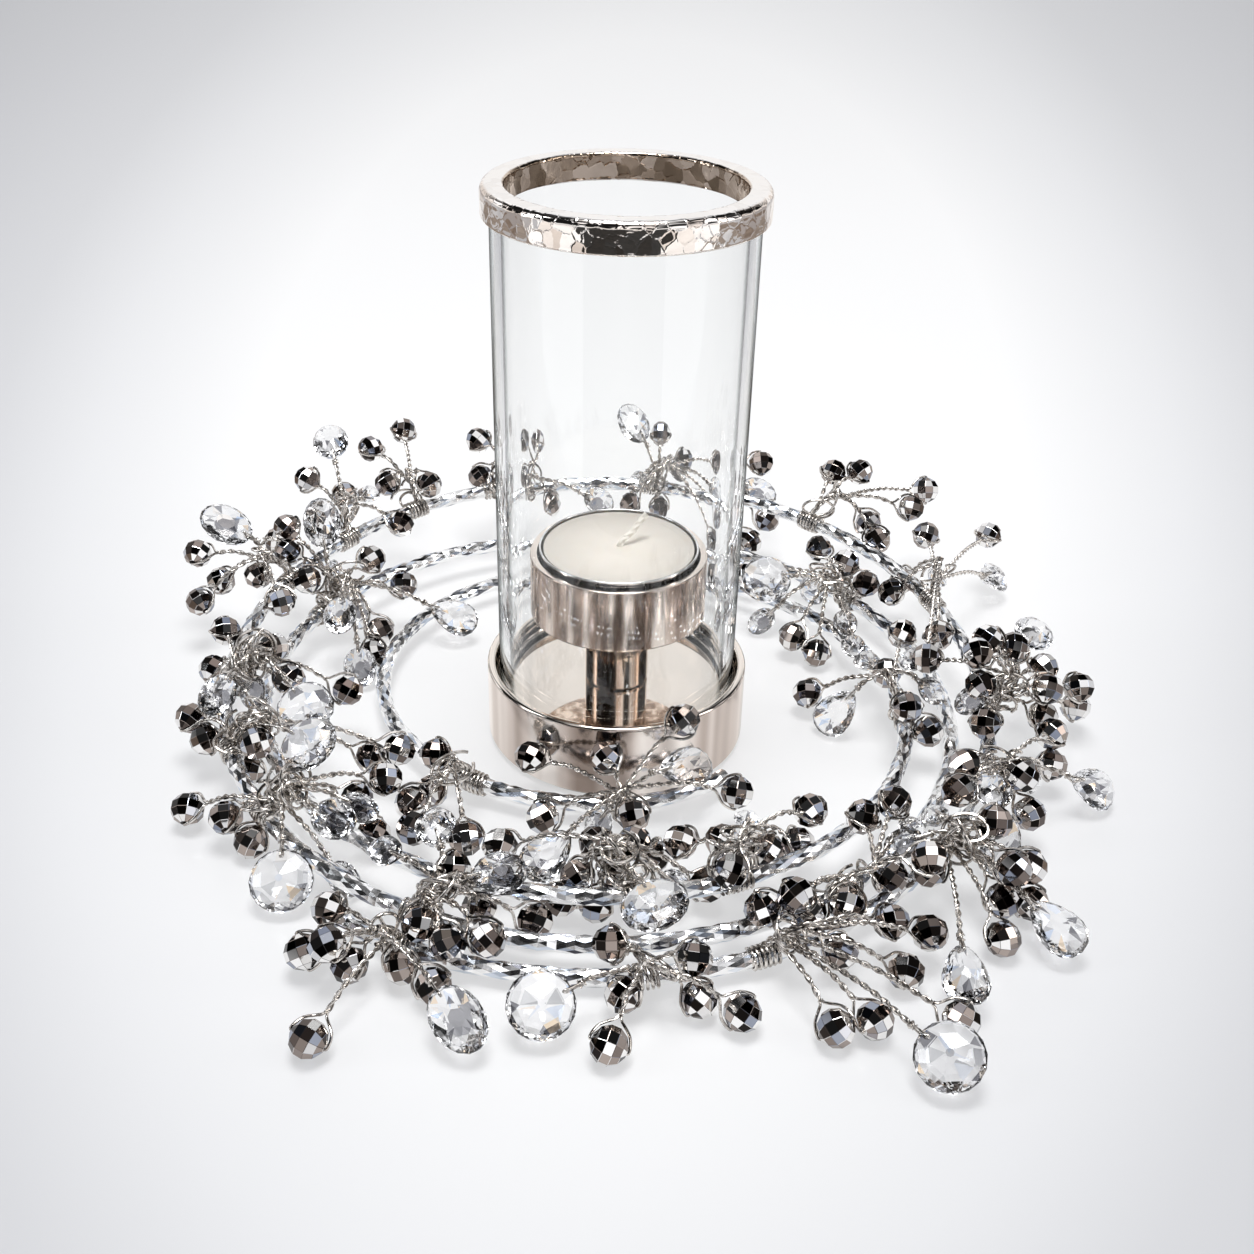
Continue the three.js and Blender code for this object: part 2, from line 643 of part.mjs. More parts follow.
// Rods and balls that keep clear of each other: follow is how far each end moves with its tip
function keepers(sprays) {
  const still = { spray: null, tip: null, followA: 0, followB: 0, ball: false };
  const list = garlandStretches.map((stretch) => ({ ...still, ...stretch }));
  const high = new THREE.Vector3(0, 0, rimTop);
  list.push({ ...still, a: new THREE.Vector3(), b: high, radius: baseRadius });
  for (const spray of sprays) {
    const half = spray.along.clone().multiplyScalar(BINDING_LENGTH / 2);
    const a = spray.root.clone().sub(half);
    const b = spray.root.clone().add(half);
    list.push({ ...still, spray, a, b, radius: spray.bore + BINDING_WALL });
    list.push({ ...still, spray, a: spray.foot, b: spray.head, radius: stalkRadius });
    for (const own of spray.tips) {
      const { start, middle, end, centre } = own;
      const moving = { spray, tip: own, ball: false, radius: branchRadius };
      list.push({ ...moving, a: start, b: middle, followA: 0, followB: 0.5 });
      list.push({ ...moving, a: middle, b: end, followA: 0.5, followB: 1 });
      list.push({ ...moving, a: centre, b: centre, followA: 1, followB: 1, ball: true, radius: own.radius });
    }
  }
  return list;
}

function mayMeet(first, second) {
  if (!first.tip && !second.tip) return false;
  if (first.tip === second.tip) return false;
  if (first.spray === second.spray && !first.ball && !second.ball) return false;
  const reach = first.a.distanceTo(first.b) / 2 + second.a.distanceTo(second.b) / 2;
  const apart = first.a.clone().add(first.b).sub(second.a).sub(second.b).length() / 2;
  return apart < reach + first.radius + second.radius + PAIR_MARGIN;
}

function nearPairs(list) {
  const pairs = [];
  for (let i = 0; i < list.length; i += 1) {
    for (let j = i + 1; j < list.length; j += 1) {
      if (mayMeet(list[i], list[j])) pairs.push([list[i], list[j]]);
    }
  }
  return pairs;
}

// Moves the tips of two keepers apart until they clear, and returns how far they were short of it
function moveApart(first, second) {
  const { s, t, way, distance } = nearest(first, second);
  const short = first.radius + second.radius + WREATH_GAP - distance;
  if (short <= 0) return 0;
  const outward = distance > WELD ? way.divideScalar(distance) : UP;
  const share = (keeper, fraction) => {
    if (!keeper.tip) return 0;
    return Math.max(THREE.MathUtils.lerp(keeper.followA, keeper.followB, fraction), LEAST_FOLLOW);
  };
  const shares = [-share(first, s), share(second, t)];
  const total = shares[0] ** 2 + shares[1] ** 2;
  [first, second].forEach((keeper, i) => {
    if (!keeper.tip) return;
    const move = THREE.MathUtils.clamp(short * shares[i] / total, -SETTLE_STRIDE, SETTLE_STRIDE);
    keeper.tip.centre.addScaledVector(outward, move);
    placeBranch(keeper.tip);
  });
  return short;
}

// Settling: tips shift until no bead, crystal or branch comes too near another, the wire or the base
function settle(sprays) {
  const list = keepers(sprays);
  let pairs = [];
  let shortest = Infinity;
  for (let round = 0; round < SETTLE_ROUNDS && shortest > SETTLED; round += 1) {
    if (round % ROUNDS_PER_SEARCH === 0) pairs = nearPairs(list);
    shortest = pairs.reduce((most, [first, second]) => Math.max(most, moveApart(first, second)), 0);
  }
  return WREATH_GAP - shortest;
}

// Spray as one body: binding sleeve round the garland wire, stalk, branches and beads
function sprayGeometry(spray) {
  const { bore, root, along, foot, head } = spray;
  const half = BINDING_LENGTH / 2;
  const sleeve = turnedRing([
    [bore, -half],
    [bore + BINDING_WALL, -half],
    [bore + BINDING_WALL, half],
    [bore, half],
  ], BINDING_SIDES);
  sleeve.applyQuaternion(new THREE.Quaternion().setFromUnitVectors(UP, along));
  sleeve.translate(root.x, root.y, root.z);
  let body = solidOf(sleeve);
  body = body.add(solidOf(tube(new THREE.LineCurve3(foot, head), stalkRadius, STALK_SIDES, 1)));
  for (const own of spray.tips) {
    body = body.add(solidOf(branchGeometry(own)));
  }
  return geometryOf(body);
}

// Branch over its arch, which swells into its bead or stops square at its crystal
function branchGeometry({ start, middle, centre, end, crystal }) {
  const side = new THREE.Vector3().subVectors(centre, start).cross(UP).normalize();
  const rising = new THREE.Vector3().subVectors(middle, start).normalize();
  const falling = new THREE.Vector3().subVectors(centre, middle).normalize();
  const bend = new THREE.Vector3().addVectors(rising, falling).normalize();
  const ring = (at, heading, radius, sides, turn) => {
    const other = new THREE.Vector3().crossVectors(heading, side);
    const points = [];
    for (let i = 0; i < sides; i += 1) {
      const angle = 2 * Math.PI * (i + turn) / sides;
      const point = at.clone().addScaledVector(side, radius * Math.cos(angle));
      points.push({ turn: (i + turn) / sides, at: point.addScaledVector(other, radius * Math.sin(angle)) });
    }
    return points;
  };
  const onBead = (latitude, sides, turn) => {
    const at = centre.clone().addScaledVector(falling, beadRadius * Math.sin(latitude));
    return ring(at, falling, beadRadius * Math.cos(latitude), sides, turn);
  };
  const onWire = (at, heading) => ring(at, heading, branchRadius, BRANCH_SIDES, 0);
  const rings = [onWire(start, rising), onWire(middle, bend)];
  if (crystal) {
    rings.push(onWire(end, falling));
  } else {
    const latitude = THREE.MathUtils.degToRad(BEAD_RING_LATITUDE);
    rings.push(onBead(-Math.acos(branchRadius / beadRadius), BRANCH_SIDES, 0));
    rings.push(onBead(-latitude, BEAD_SIDES, 0), onBead(latitude, BEAD_SIDES, 0.5));
    rings.push(onBead(Math.PI / 2, 1, 0));
  }
  return loft(rings);
}

// Closed body through rings of points, each ring's points in order round the body's heading
function loft(rings) {
  const points = [];
  const corners = [];
  const firsts = rings.map((ring) => {
    const first = points.length;
    points.push(...ring.map(({ at }) => at));
    return first;
  });
  const at = (ring, i) => firsts[ring] + i % rings[ring].length;
  const turnOf = (ring, i) => rings[ring][i % rings[ring].length].turn + Math.floor(i / rings[ring].length);
  for (let low = 0; low < rings.length - 1; low += 1) {
    const high = low + 1;
    const counts = [rings[low].length, rings[high].length];
    let [i, j] = [0, 0];
    while (i < counts[0] || j < counts[1]) {
      const climbs = i === counts[0] || (j < counts[1] && turnOf(high, j + 1) < turnOf(low, i + 1));
      if (climbs) {
        if (counts[1] > 1) corners.push(at(low, i), at(high, j + 1), at(high, j));
        j += 1;
      } else {
        if (counts[0] > 1) corners.push(at(low, i), at(low, i + 1), at(high, j));
        i += 1;
      }
    }
  }
  const last = rings.length - 1;
  for (let i = 1; i < rings[0].length - 1; i += 1) corners.push(at(0, 0), at(0, i + 1), at(0, i));
  for (let i = 1; i < rings[last].length - 1; i += 1) corners.push(at(last, 0), at(last, i), at(last, i + 1));
  const geometry = new THREE.BufferGeometry().setFromPoints(points);
  geometry.setIndex(corners);
  return geometry;
}

// Crystal hung in line with its branch, its faces turned to the front and upwards
function placedCrystal({ centre, middle, crystal }) {
  const lengthwise = new THREE.Vector3().subVectors(middle, centre).normalize();
  const across = new THREE.Vector3().crossVectors(lengthwise, CRYSTAL_FACING).normalize();
  const facing = new THREE.Vector3().crossVectors(across, lengthwise);
  const turn = new THREE.Matrix4().makeBasis(across, lengthwise, facing);
  return crystalGeometry(crystal).applyMatrix4(turn.setPosition(centre));
}

const FINISHES = {
  nickel: { color: 0xb9aba3, roughness: 0.12, metalness: 1 },
  zinc: { color: 0xa8a8a4, roughness: 0.35, metalness: 1 },
  felt: { color: 0x2b2a2c, roughness: 0.95, metalness: 0 },
  glass: { color: 0xe9f0ee, roughness: 0.02, metalness: 0 },
  aluminium: { color: 0xd5d6d8, roughness: 0.25, metalness: 1 },
  wax: { color: 0xf3eee3, roughness: 0.55, metalness: 0 },
  cotton: { color: 0xf0ece2, roughness: 0.9, metalness: 0 },
  silver: { color: 0xc3c1be, roughness: 0.25, metalness: 1 },
  hematite: { color: 0x3a383b, roughness: 0.1, metalness: 1 },
  crystal: { color: 0xf4f6fa, roughness: 0.01, metalness: 0 },
};

function piece(name, finish, geometry) {
  const body = closedBody(geometry);
  body.computeVertexNormals();
  const mesh = new THREE.Mesh(body, new THREE.MeshStandardMaterial(FINISHES[finish]));
  mesh.name = name;
  return mesh;
}

const holder = new THREE.Group();
holder.add(
  piece('felt_pad', 'felt', feltPad()),
  piece('base_dish', 'nickel', baseDish()),
  piece('stem', 'nickel', stem()),
  piece('base_screw', 'zinc', baseScrew()),
  piece('cup', 'nickel', cup()),
  piece('cup_screw', 'zinc', cupScrew()),
);

const tealight = new THREE.Group();
tealight.add(
  piece('tealight_can', 'aluminium', tealightCan()),
  piece('wax', 'wax', wax()),
  piece('wick', 'cotton', wick()),
  piece('wick_tab', 'zinc', wickTab()),
);

const chimney = new THREE.Group();
chimney.add(
  piece('glass_tube', 'glass', glassTube()),
  piece('rim_ring', 'nickel', rimRing()),
);

const sprays = SPRAYS.map(layOut);
const clearance = settle(sprays);
console.log(`garland wire, least gap to itself: ${garlandLeastGap().toFixed(2)} mm`);
console.log(`wreath, least clearance: ${clearance.toFixed(2)} mm`);

const wreath = new THREE.Group();
wreath.add(piece('garland_wire', 'silver', garlandWire()));
for (const spray of sprays) {
  wreath.add(piece(`spray_${spray.name}`, 'hematite', sprayGeometry(spray)));
  spray.tips.filter((own) => own.crystal).forEach((own, i) => {
    const number = i ? `_${i + 1}` : '';
    wreath.add(piece(`crystal_${spray.name}${number}`, 'crystal', placedCrystal(own)));
  });
}

const group = new THREE.Group();
group.add(holder, tealight, chimney, wreath);

export default group;
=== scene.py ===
"""Looks of a crystal tealight holder, made round its CAD frame.

The turned metal, the glass and the candle are made again as smooth pieces. The wreath is made again as
crinkled foil, twisted wire, faceted beads and cut crystals, in the places that the frame gives.
Sizes are in millimetres, and become metres when a mesh is made. The stage is set out in metres.
"""
import math
import random

import bmesh
import bpy
import numpy as np
from mathutils import Matrix, Vector


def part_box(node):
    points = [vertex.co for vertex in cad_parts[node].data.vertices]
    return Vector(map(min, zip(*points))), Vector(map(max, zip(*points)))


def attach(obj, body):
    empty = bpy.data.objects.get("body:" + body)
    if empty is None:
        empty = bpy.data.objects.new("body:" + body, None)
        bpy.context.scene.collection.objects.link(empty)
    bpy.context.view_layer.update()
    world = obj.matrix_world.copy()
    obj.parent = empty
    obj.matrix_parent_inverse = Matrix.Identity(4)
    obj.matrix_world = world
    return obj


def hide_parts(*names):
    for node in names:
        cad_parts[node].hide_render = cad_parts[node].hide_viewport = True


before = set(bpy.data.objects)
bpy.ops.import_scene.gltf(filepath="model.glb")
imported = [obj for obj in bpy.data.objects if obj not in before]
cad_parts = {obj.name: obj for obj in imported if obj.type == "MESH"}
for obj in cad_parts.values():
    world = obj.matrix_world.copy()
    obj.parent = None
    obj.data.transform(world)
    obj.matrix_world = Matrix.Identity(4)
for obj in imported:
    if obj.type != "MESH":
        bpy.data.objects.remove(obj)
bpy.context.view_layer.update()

MM = 0.001
UP = np.array((0.0, 0.0, 1.0))
SEED = 20

# Camera of the photograph, fitted to the ellipses of the base, cup, can and rim
PHOTO_SIDE = 1254
FOCAL_PIXELS = 1472.05
SENSOR_WIDTH = 36
CAMERA_PLACE = (7.2, -315.47, 218.13)
CAMERA_PITCH = 0.5394
CAMERA_YAW = -0.0151
CAMERA_ROLL = 0.0255
CAMERA_NEAR = 10

# Rounded corners of an outline: the angle where the arc starts, and the way to its middle
OUTER_FOOT = (-90, -1, 1)
OUTER_TOP = (0, -1, -1)
INNER_TOP = (90, 1, -1)
INNER_FOOT = (180, 1, 1)
CORNER_STEPS = 6

# Turned parts
LATHE_STEPS = 180
FIRM_EDGE = 0.15
LONG_SIDE = 5 * FIRM_EDGE
CLEARANCE = 0.3
BASE_EDGE = 0.9
DISH_WALL = 2.1
DISH_CORNER = 1.0
DISH_EDGE = 0.8
DISH_FLOOR = 15.6
STEM_EDGE = 0.7
CUP_EDGE = 0.7
CUP_LIP = 0.35
CUP_WALL = 1.9
CUP_FLOOR = 2.0
CUP_MOUTH = 0.05
CUP_MOUTH_DEPTH = 8.0
GLASS_WALL = 2.5
GLASS_EDGE = 0.8
PAD_EDGE = 0.3

# Tealight: the can's rolled rim is an arc in degrees
CAN_WALL = 0.4
CAN_CORNER = 1.2
CAN_ROLL = 0.25
CAN_ROLL_ARC = (-60, 240)
CAN_ROLL_STEPS = 14
CAN_PROUD = 0.2
WAX_DIP = 0.35
WAX_EDGE_WIDTH = 2.2
WAX_EDGE_POINTS = 9
WAX_MOUND = 2.5
WAX_MOUND_POINTS = 7
WAX_RINGS = (0.8, 0.6, 0.4)
WICK_STRANDS = 3
WICK_STRAND = 0.6
WICK_PITCH = 7.0
WICK_PRESSED = 0.35
WICK_DROOP = 3.4
WICK_BEND = 0.6
WICK_END = (6.4, 6.0)

# Painted reflections in the drawn metal: tones of upright streaks that stand in for reflections, and the
# radii between which the dish passes to its outer wall with streaks of painted reflection
CUP_PAINTED_REFLECTION_TONES = [(0.35, (0.29, 0.21, 0.17)), (0.51, (0.59, 0.475, 0.405)), (0.65, (0.98, 0.88, 0.8))]
CUP_ROUGHNESS = (0.11, 0.17)
STEM_PAINTED_REFLECTION_TONES = [(0.36, (0.2, 0.14, 0.105)), (0.48, (0.45, 0.345, 0.28)), (0.62, (0.92, 0.82, 0.73))]
STEM_ROUGHNESS = (0.1, 0.15)
DISH_PAINTED_WALL_RADII = (32.2, 32.45)

# Hammered rim: its form, its dents and the patches of its surface, in patches to the metre
RIM_STEPS = 480
RIM_SPACING = 0.35
RIM_LIP = 0.7
RIM_ROUND = 1.8
RIM_ROUND_STEPS = 10
RIM_INNER_ROUND = 1.0
RIM_ROUND_KEPT = 0.8
RIM_INNER_SKIRT = 6.0
# Radii across which the rim passes from its inner wall, with its painted shade, to its outer wall
RIM_OUTSIDE = (26.2, 27.2)
CHANNEL_MARGIN = 0.05
DENTS_ROUND = 50
DENT_SIZE = 3.6
DENT_DEPTH = 0.1
DENT_BLEND = 0.6
DENT_REACH = 1.5
DENT_JITTER_ROUND = 0.35
DENT_JITTER_ALONG = 0.3
PATCHES = 330
PATCH_WAVES = 1.5
PATCH_WAVER = 0.5
RIDGE_WIDTH = 0.1
RIDGE_HEIGHT = 0.033

# Garland wire: its distance from the base and its height at every half turn, as in the CAD solid
GARLAND_GAPS = (11.5, 36.5, 51.5, 53.5, 59.5, 64.5, 66.5)
GARLAND_HEIGHTS = (5, 6, 12, 8, 6, 22, 3.5)
GARLAND_SHIFT = (-4, 3)
GARLAND_FIRST_STEP = -3
GARLAND_LAST_STEP = 74
GARLAND_POINTS = 4000
STEPS_PER_LOOP = 24
FOIL_RADIUS = 1.85
FOIL_STEP = 1.9
FOIL_SIDES = 11
FOIL_WRAP = 0.12
FOIL_WRAP_PITCH = 4.4
FOIL_CRINKLE = 0.15

# Sprays: the stretch of garland wire at each root
SPRAY_STEPS = {
    "front_left": 73, "front": 71, "front_right": 70, "right_front": 68, "right": 67,
    "right_back": 66, "back_right_low": 64, "back_right_high": 62, "back": 60, "back_left_low": 58,
    "back_left_high": 57, "left_back_high": 56, "left_high": 55, "left": 53, "left_low": 52,
    "left_front": 51, "front_left_mid": 49, "front_right_low": 45, "back_right_inner": 39,
    "left_back": 31, "front_mid": 23, "front_right_mid": 22, "right_inner": 18,
    "front_left_inner": 2, "front_inner": -1,
}
STALK_FOOT = 2.4
STALK_RISE = 8
STALK_LEAN = 8
STALK_SAG = 0.6
STALK_BARE = 0.25
STALK_STRANDS = 3
STALK_WIRE = 0.4
STALK_PITCH = 7.0
BRANCH_ARCH = 2
BRANCH_STRANDS = 2
WIRE = 0.33
WIRE_SIDES = 6
WIRE_STEP = 0.34
TWIST_PITCH = 5.0
TWIST_SPREAD = (0.8, 1.2)
START_ANGLES = (0, 6)
BINDING_TURNS = 6
BINDING_TURN_POINTS = 14
BINDING_LENGTH = 6.5
BINDING_SWELL = (0, 0.35)
BINDING_WIRE = 1.1 * WIRE

# Beads: latitudes of their rows of facets, and how their places are found by the votes of CAD faces
BEAD_RADIUS = 3.9
BEAD_FACETS_ROUND = 10
BEAD_ROWS = (0, 30, -30, 60, -60)
BEAD_FACET_DEPTH = 0.945
BEAD_BEVEL = 0.05
BEAD_TURN = 0.5
BEAD_VOTES = 12
VOTE_SPREAD = 0.15

# Wire round a bead: from inside its hole over its side to the neck of the branch
BEAD_HOLE_START = 0.6 * BEAD_RADIUS
BEAD_HOLE_END = BEAD_RADIUS + WIRE / 2
BEAD_ROUND = BEAD_RADIUS + 1.5 * WIRE
BEAD_ROUND_BACK = 0.9
BEAD_CLOSING = 0.9
BEAD_CLOSING_WIDTH = 1.6
BEAD_NECK = 2.4

# Crystals: rings of corners from the girdle up, as count, scale, turn in corners and share of the depth
CRYSTAL_FACING = np.array((0.0, -0.6, 0.8))
CRYSTAL_DEPTH = 5.5
CRYSTAL_GIRDLE = 0.6
CROWN_RINGS = ((16, 0.86, 0.5, 0.22), (8, 0.6, 0.5, 0.38))
GIRDLE_CORNERS = 16
TABLE_CORNERS = 8
TABLE_SIZE = 0.36
ROUND_TABLE_SIZE = 0.12
ROUND_WITHIN = 0.5
STONES = {"small": (9.0, 6.6, 4.6), "large": (11.5, 9.0, 5.4)}

# How a crystal's form is read off its CAD solid
SAME_FACET = 0.999
FAR_END = 0.98
OFF_MIDDLE = 0.1
DROP_WITHIN = 0.9
DROP_TAPER = 0.3

# Wire through a crystal: out of its hole, over its edge and into a short knot
CRYSTAL_HOLE = 2.0
CRYSTAL_HOLE_DEPTH = 0.26
CRYSTAL_OVER = 0.3
CRYSTAL_NECK = 1.9
KNOT_BEFORE = 0.6
KNOT_AFTER = 0.8
KNOT_WIRE = 1.5 * WIRE

# Small crystals that the solids hold as beads: size, degrees round and mm out from the root, mm up
SMALL_CRYSTALS = {
    "front_left_mid": [("small", -7, -5, 14)],
    "back_right_low": [("small", 8, 14, 14)],
    "back_right_inner": [("small", -13, -15, 10), ("small", 11, -24, 4)],
    "back": [("large", -18, 5, 22)],
    "back_left_low": [("large", -18, -3, 20)],
    "left_front": [("small", 11, -11, 12)],
    "front_right_low": [("small", 14, 3, 10)],
}

# Small stones and beads that fill the bunches, placed the same way, and where they may leave the stalk
FILLERS = {
    "left_back": [("large", -7, 7, 14), ("small", -3, -8, 9), ("large", 11, -19, 5),
                  ("large", 5, -10, 15)],
    "left": [("small", -3, 6, 8), ("small", 2, -6, 14), ("large", 7, 1, 19), ("small", -3, -14, 12)],
    "left_front": [("small", 16, -4, 4), ("bead", 12, -17, 6), ("large", 13, -6, 17)],
    "front_left_mid": [("small", -6, -19, 10), ("small", 7, -17, 8), ("bead", 7, -8, 5),
                       ("large", 11, -6, 18), ("large", -2, -12, 20)],
    "left_high": [("bead", -8, 18, 18)],
    "left_back_high": [("small", -9, 12, 24)],
    "front_mid": [("bead", -12, -5, 5), ("bead", -6, -4, 5), ("small", 7, -6, 8), ("bead", 5, -19, 6),
                  ("bead", 13, -7, 6)],
    "front_inner": [("small", -5, 8, 5)],
    "front_right_mid": [("small", 5, -7, 7), ("small", 11, -18, 10)],
    "right_front": [("small", 6, -5, 9), ("small", -7, -2, 15)],
    "right": [("small", 7, 12, 6), ("small", 3, 4, 5), ("large", -7, 6, 18)],
    "right_inner": [("small", 19, -5, 12), ("small", 6, 8, 13)],
    "right_back": [("small", 1, -4, 16), ("bead", 10, 8, 22), ("small", 16, -14, 14)],
    "back_right_inner": [("large", 5, -6, 10), ("small", -22, -19, 13)],
    "back": [("small", 3, 7, 20), ("small", -6, 5, 26)],
}
FILLER_STARTS = (0.35, 0.7, 1.0)

# Loose turns of wire at the roots
CURLS = {
    "left": 16, "left_low": 14, "left_back": 12, "left_front": 14, "front_left_mid": 14, "front_mid": 12,
    "front_right_mid": 8, "right": 12, "right_front": 12, "right_back": 10, "back": 8,
    "back_right_inner": 8,
}
FEW_CURLS = 2
CURL_PLACES = (0.1, 1.0)
CURL_SIZE = (2.4, 5.4)
CURL_FLATNESS = (0.5, 1.0)
CURL_DRIFT = (1.0, 4.0)
CURL_TURNS = (0.7, 1.5)
CURL_POINTS = 14
CURL_LOWEST = 0.6

# Floor: its painted pool of light in metres, with tones from the middle out, and the share that shines by
# itself
FLOOR_SIDE = 6.0
FLOOR_HEIGHT = -0.05 * MM
POOL_MIDDLE = 0.188
POOL_WIDTH = 0.448
POOL_WIDENING = 0.633
POOL_DEPTH = 0.324
POOL_TONES = [
    (0.0, (0.965, 0.965, 0.97)), (0.25, (0.948, 0.95, 0.957)), (0.35, (0.805, 0.811, 0.83)),
    (0.42, (0.674, 0.68, 0.703)), (0.5, (0.604, 0.61, 0.637)), (0.62, (0.508, 0.514, 0.54)),
]
FLOOR_GLOW = 0.55

# Cards to the front and the sides, out of the picture: tones and glow, and four corners in metres
DARK_CARD = ([(0.4, (0.008, 0.008, 0.008)), (0.6, (0.02, 0.018, 0.016))], 0.0)
BROWN_CARD = ([(0.4, (0.2, 0.165, 0.14)), (0.6, (0.28, 0.235, 0.2))], 0.0)
WHITE_CARD = ([(0.4, (0.94, 0.93, 0.92)), (0.6, (0.98, 0.97, 0.96))], 0.06)
CARDS = {
    "front_card": (DARK_CARD, ((-1.06, -1.6), (1.075, -1.6), (0.105, -0.16), (-0.09, -0.16))),
    "front_left_card": (WHITE_CARD, ((-1.5, -0.5), (-1.06, -1.6), (-0.09, -0.16), (-0.3, -0.12))),
    "front_right_card": (WHITE_CARD, ((1.075, -1.6), (1.5, -0.5), (0.32, -0.12), (0.105, -0.16))),
    "left_card": (BROWN_CARD, ((-0.5, -0.12), (-0.14, -0.12), (-0.2, 0.08), (-0.5, 0.08))),
    "left_back_card": (BROWN_CARD, ((-0.5, 0.08), (-0.2, 0.08), (-0.045, 0.205), (-0.4, 0.4))),
    "right_card": (BROWN_CARD, ((0.15, -0.12), (0.5, -0.12), (0.5, 0.08), (0.2, 0.08))),
    "right_back_card": (BROWN_CARD, ((0.2, 0.08), (0.5, 0.08), (0.4, 0.4), (0.045, 0.205))),
}
CARD_HEIGHT = 0.002

# Lamps: place and size of the pane in metres, watts and colour; all are turned to one point
LAMPS = {
    "overhead": ((0.0, 0.04, 1.25), (0.55, 0.5), 11.0, (1, 1, 1)),
    "left": ((-1.0, -0.2, 0.6), (0.14, 0.9), 2.0, (0.92, 0.96, 1.0)),
    "right": ((1.0, -0.1, 0.6), (0.14, 0.9), 1.6, (1.0, 0.98, 0.95)),
}
LAMP_TARGET = (0, 0, 0.05)

# Studio: white, and to the front a dark band with pale strips, which fades in between shares of an axis
SKY = (0.95, 0.95, 0.96, 1)
DARK_BAND = (("Z", 0.11, 0.16), ("Z", 0.97, 0.92), ("Y", 0.85, 0.6))
STRIP_TONES = [(0.46, 0.01), (0.57, 0.05), (0.62, 0.7), (0.69, 1.3)]
STRIP_BLUE = 1.03
STRIPS = 3.4
STRIP_STRETCH = (1, 1, 0.25)

# Plain tints, and the sockets of a Mix node that hold colours
WHITE = (1.0, 1.0, 1.0, 1)
WARM = (1.0, 0.97, 0.94, 1)
MIX_FIRST = 6
MIX_SECOND = 7
MIX_RESULT = 2


def unit(vectors):
    """Vectors made one long."""
    vectors = np.asarray(vectors, float)
    return vectors / np.linalg.norm(vectors, axis=-1, keepdims=True)


def extent(node):
    """Outer radius, lowest and highest level of a turned CAD node."""
    low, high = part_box(node)
    return high.x / MM, low.z / MM, high.z / MM


# Looks

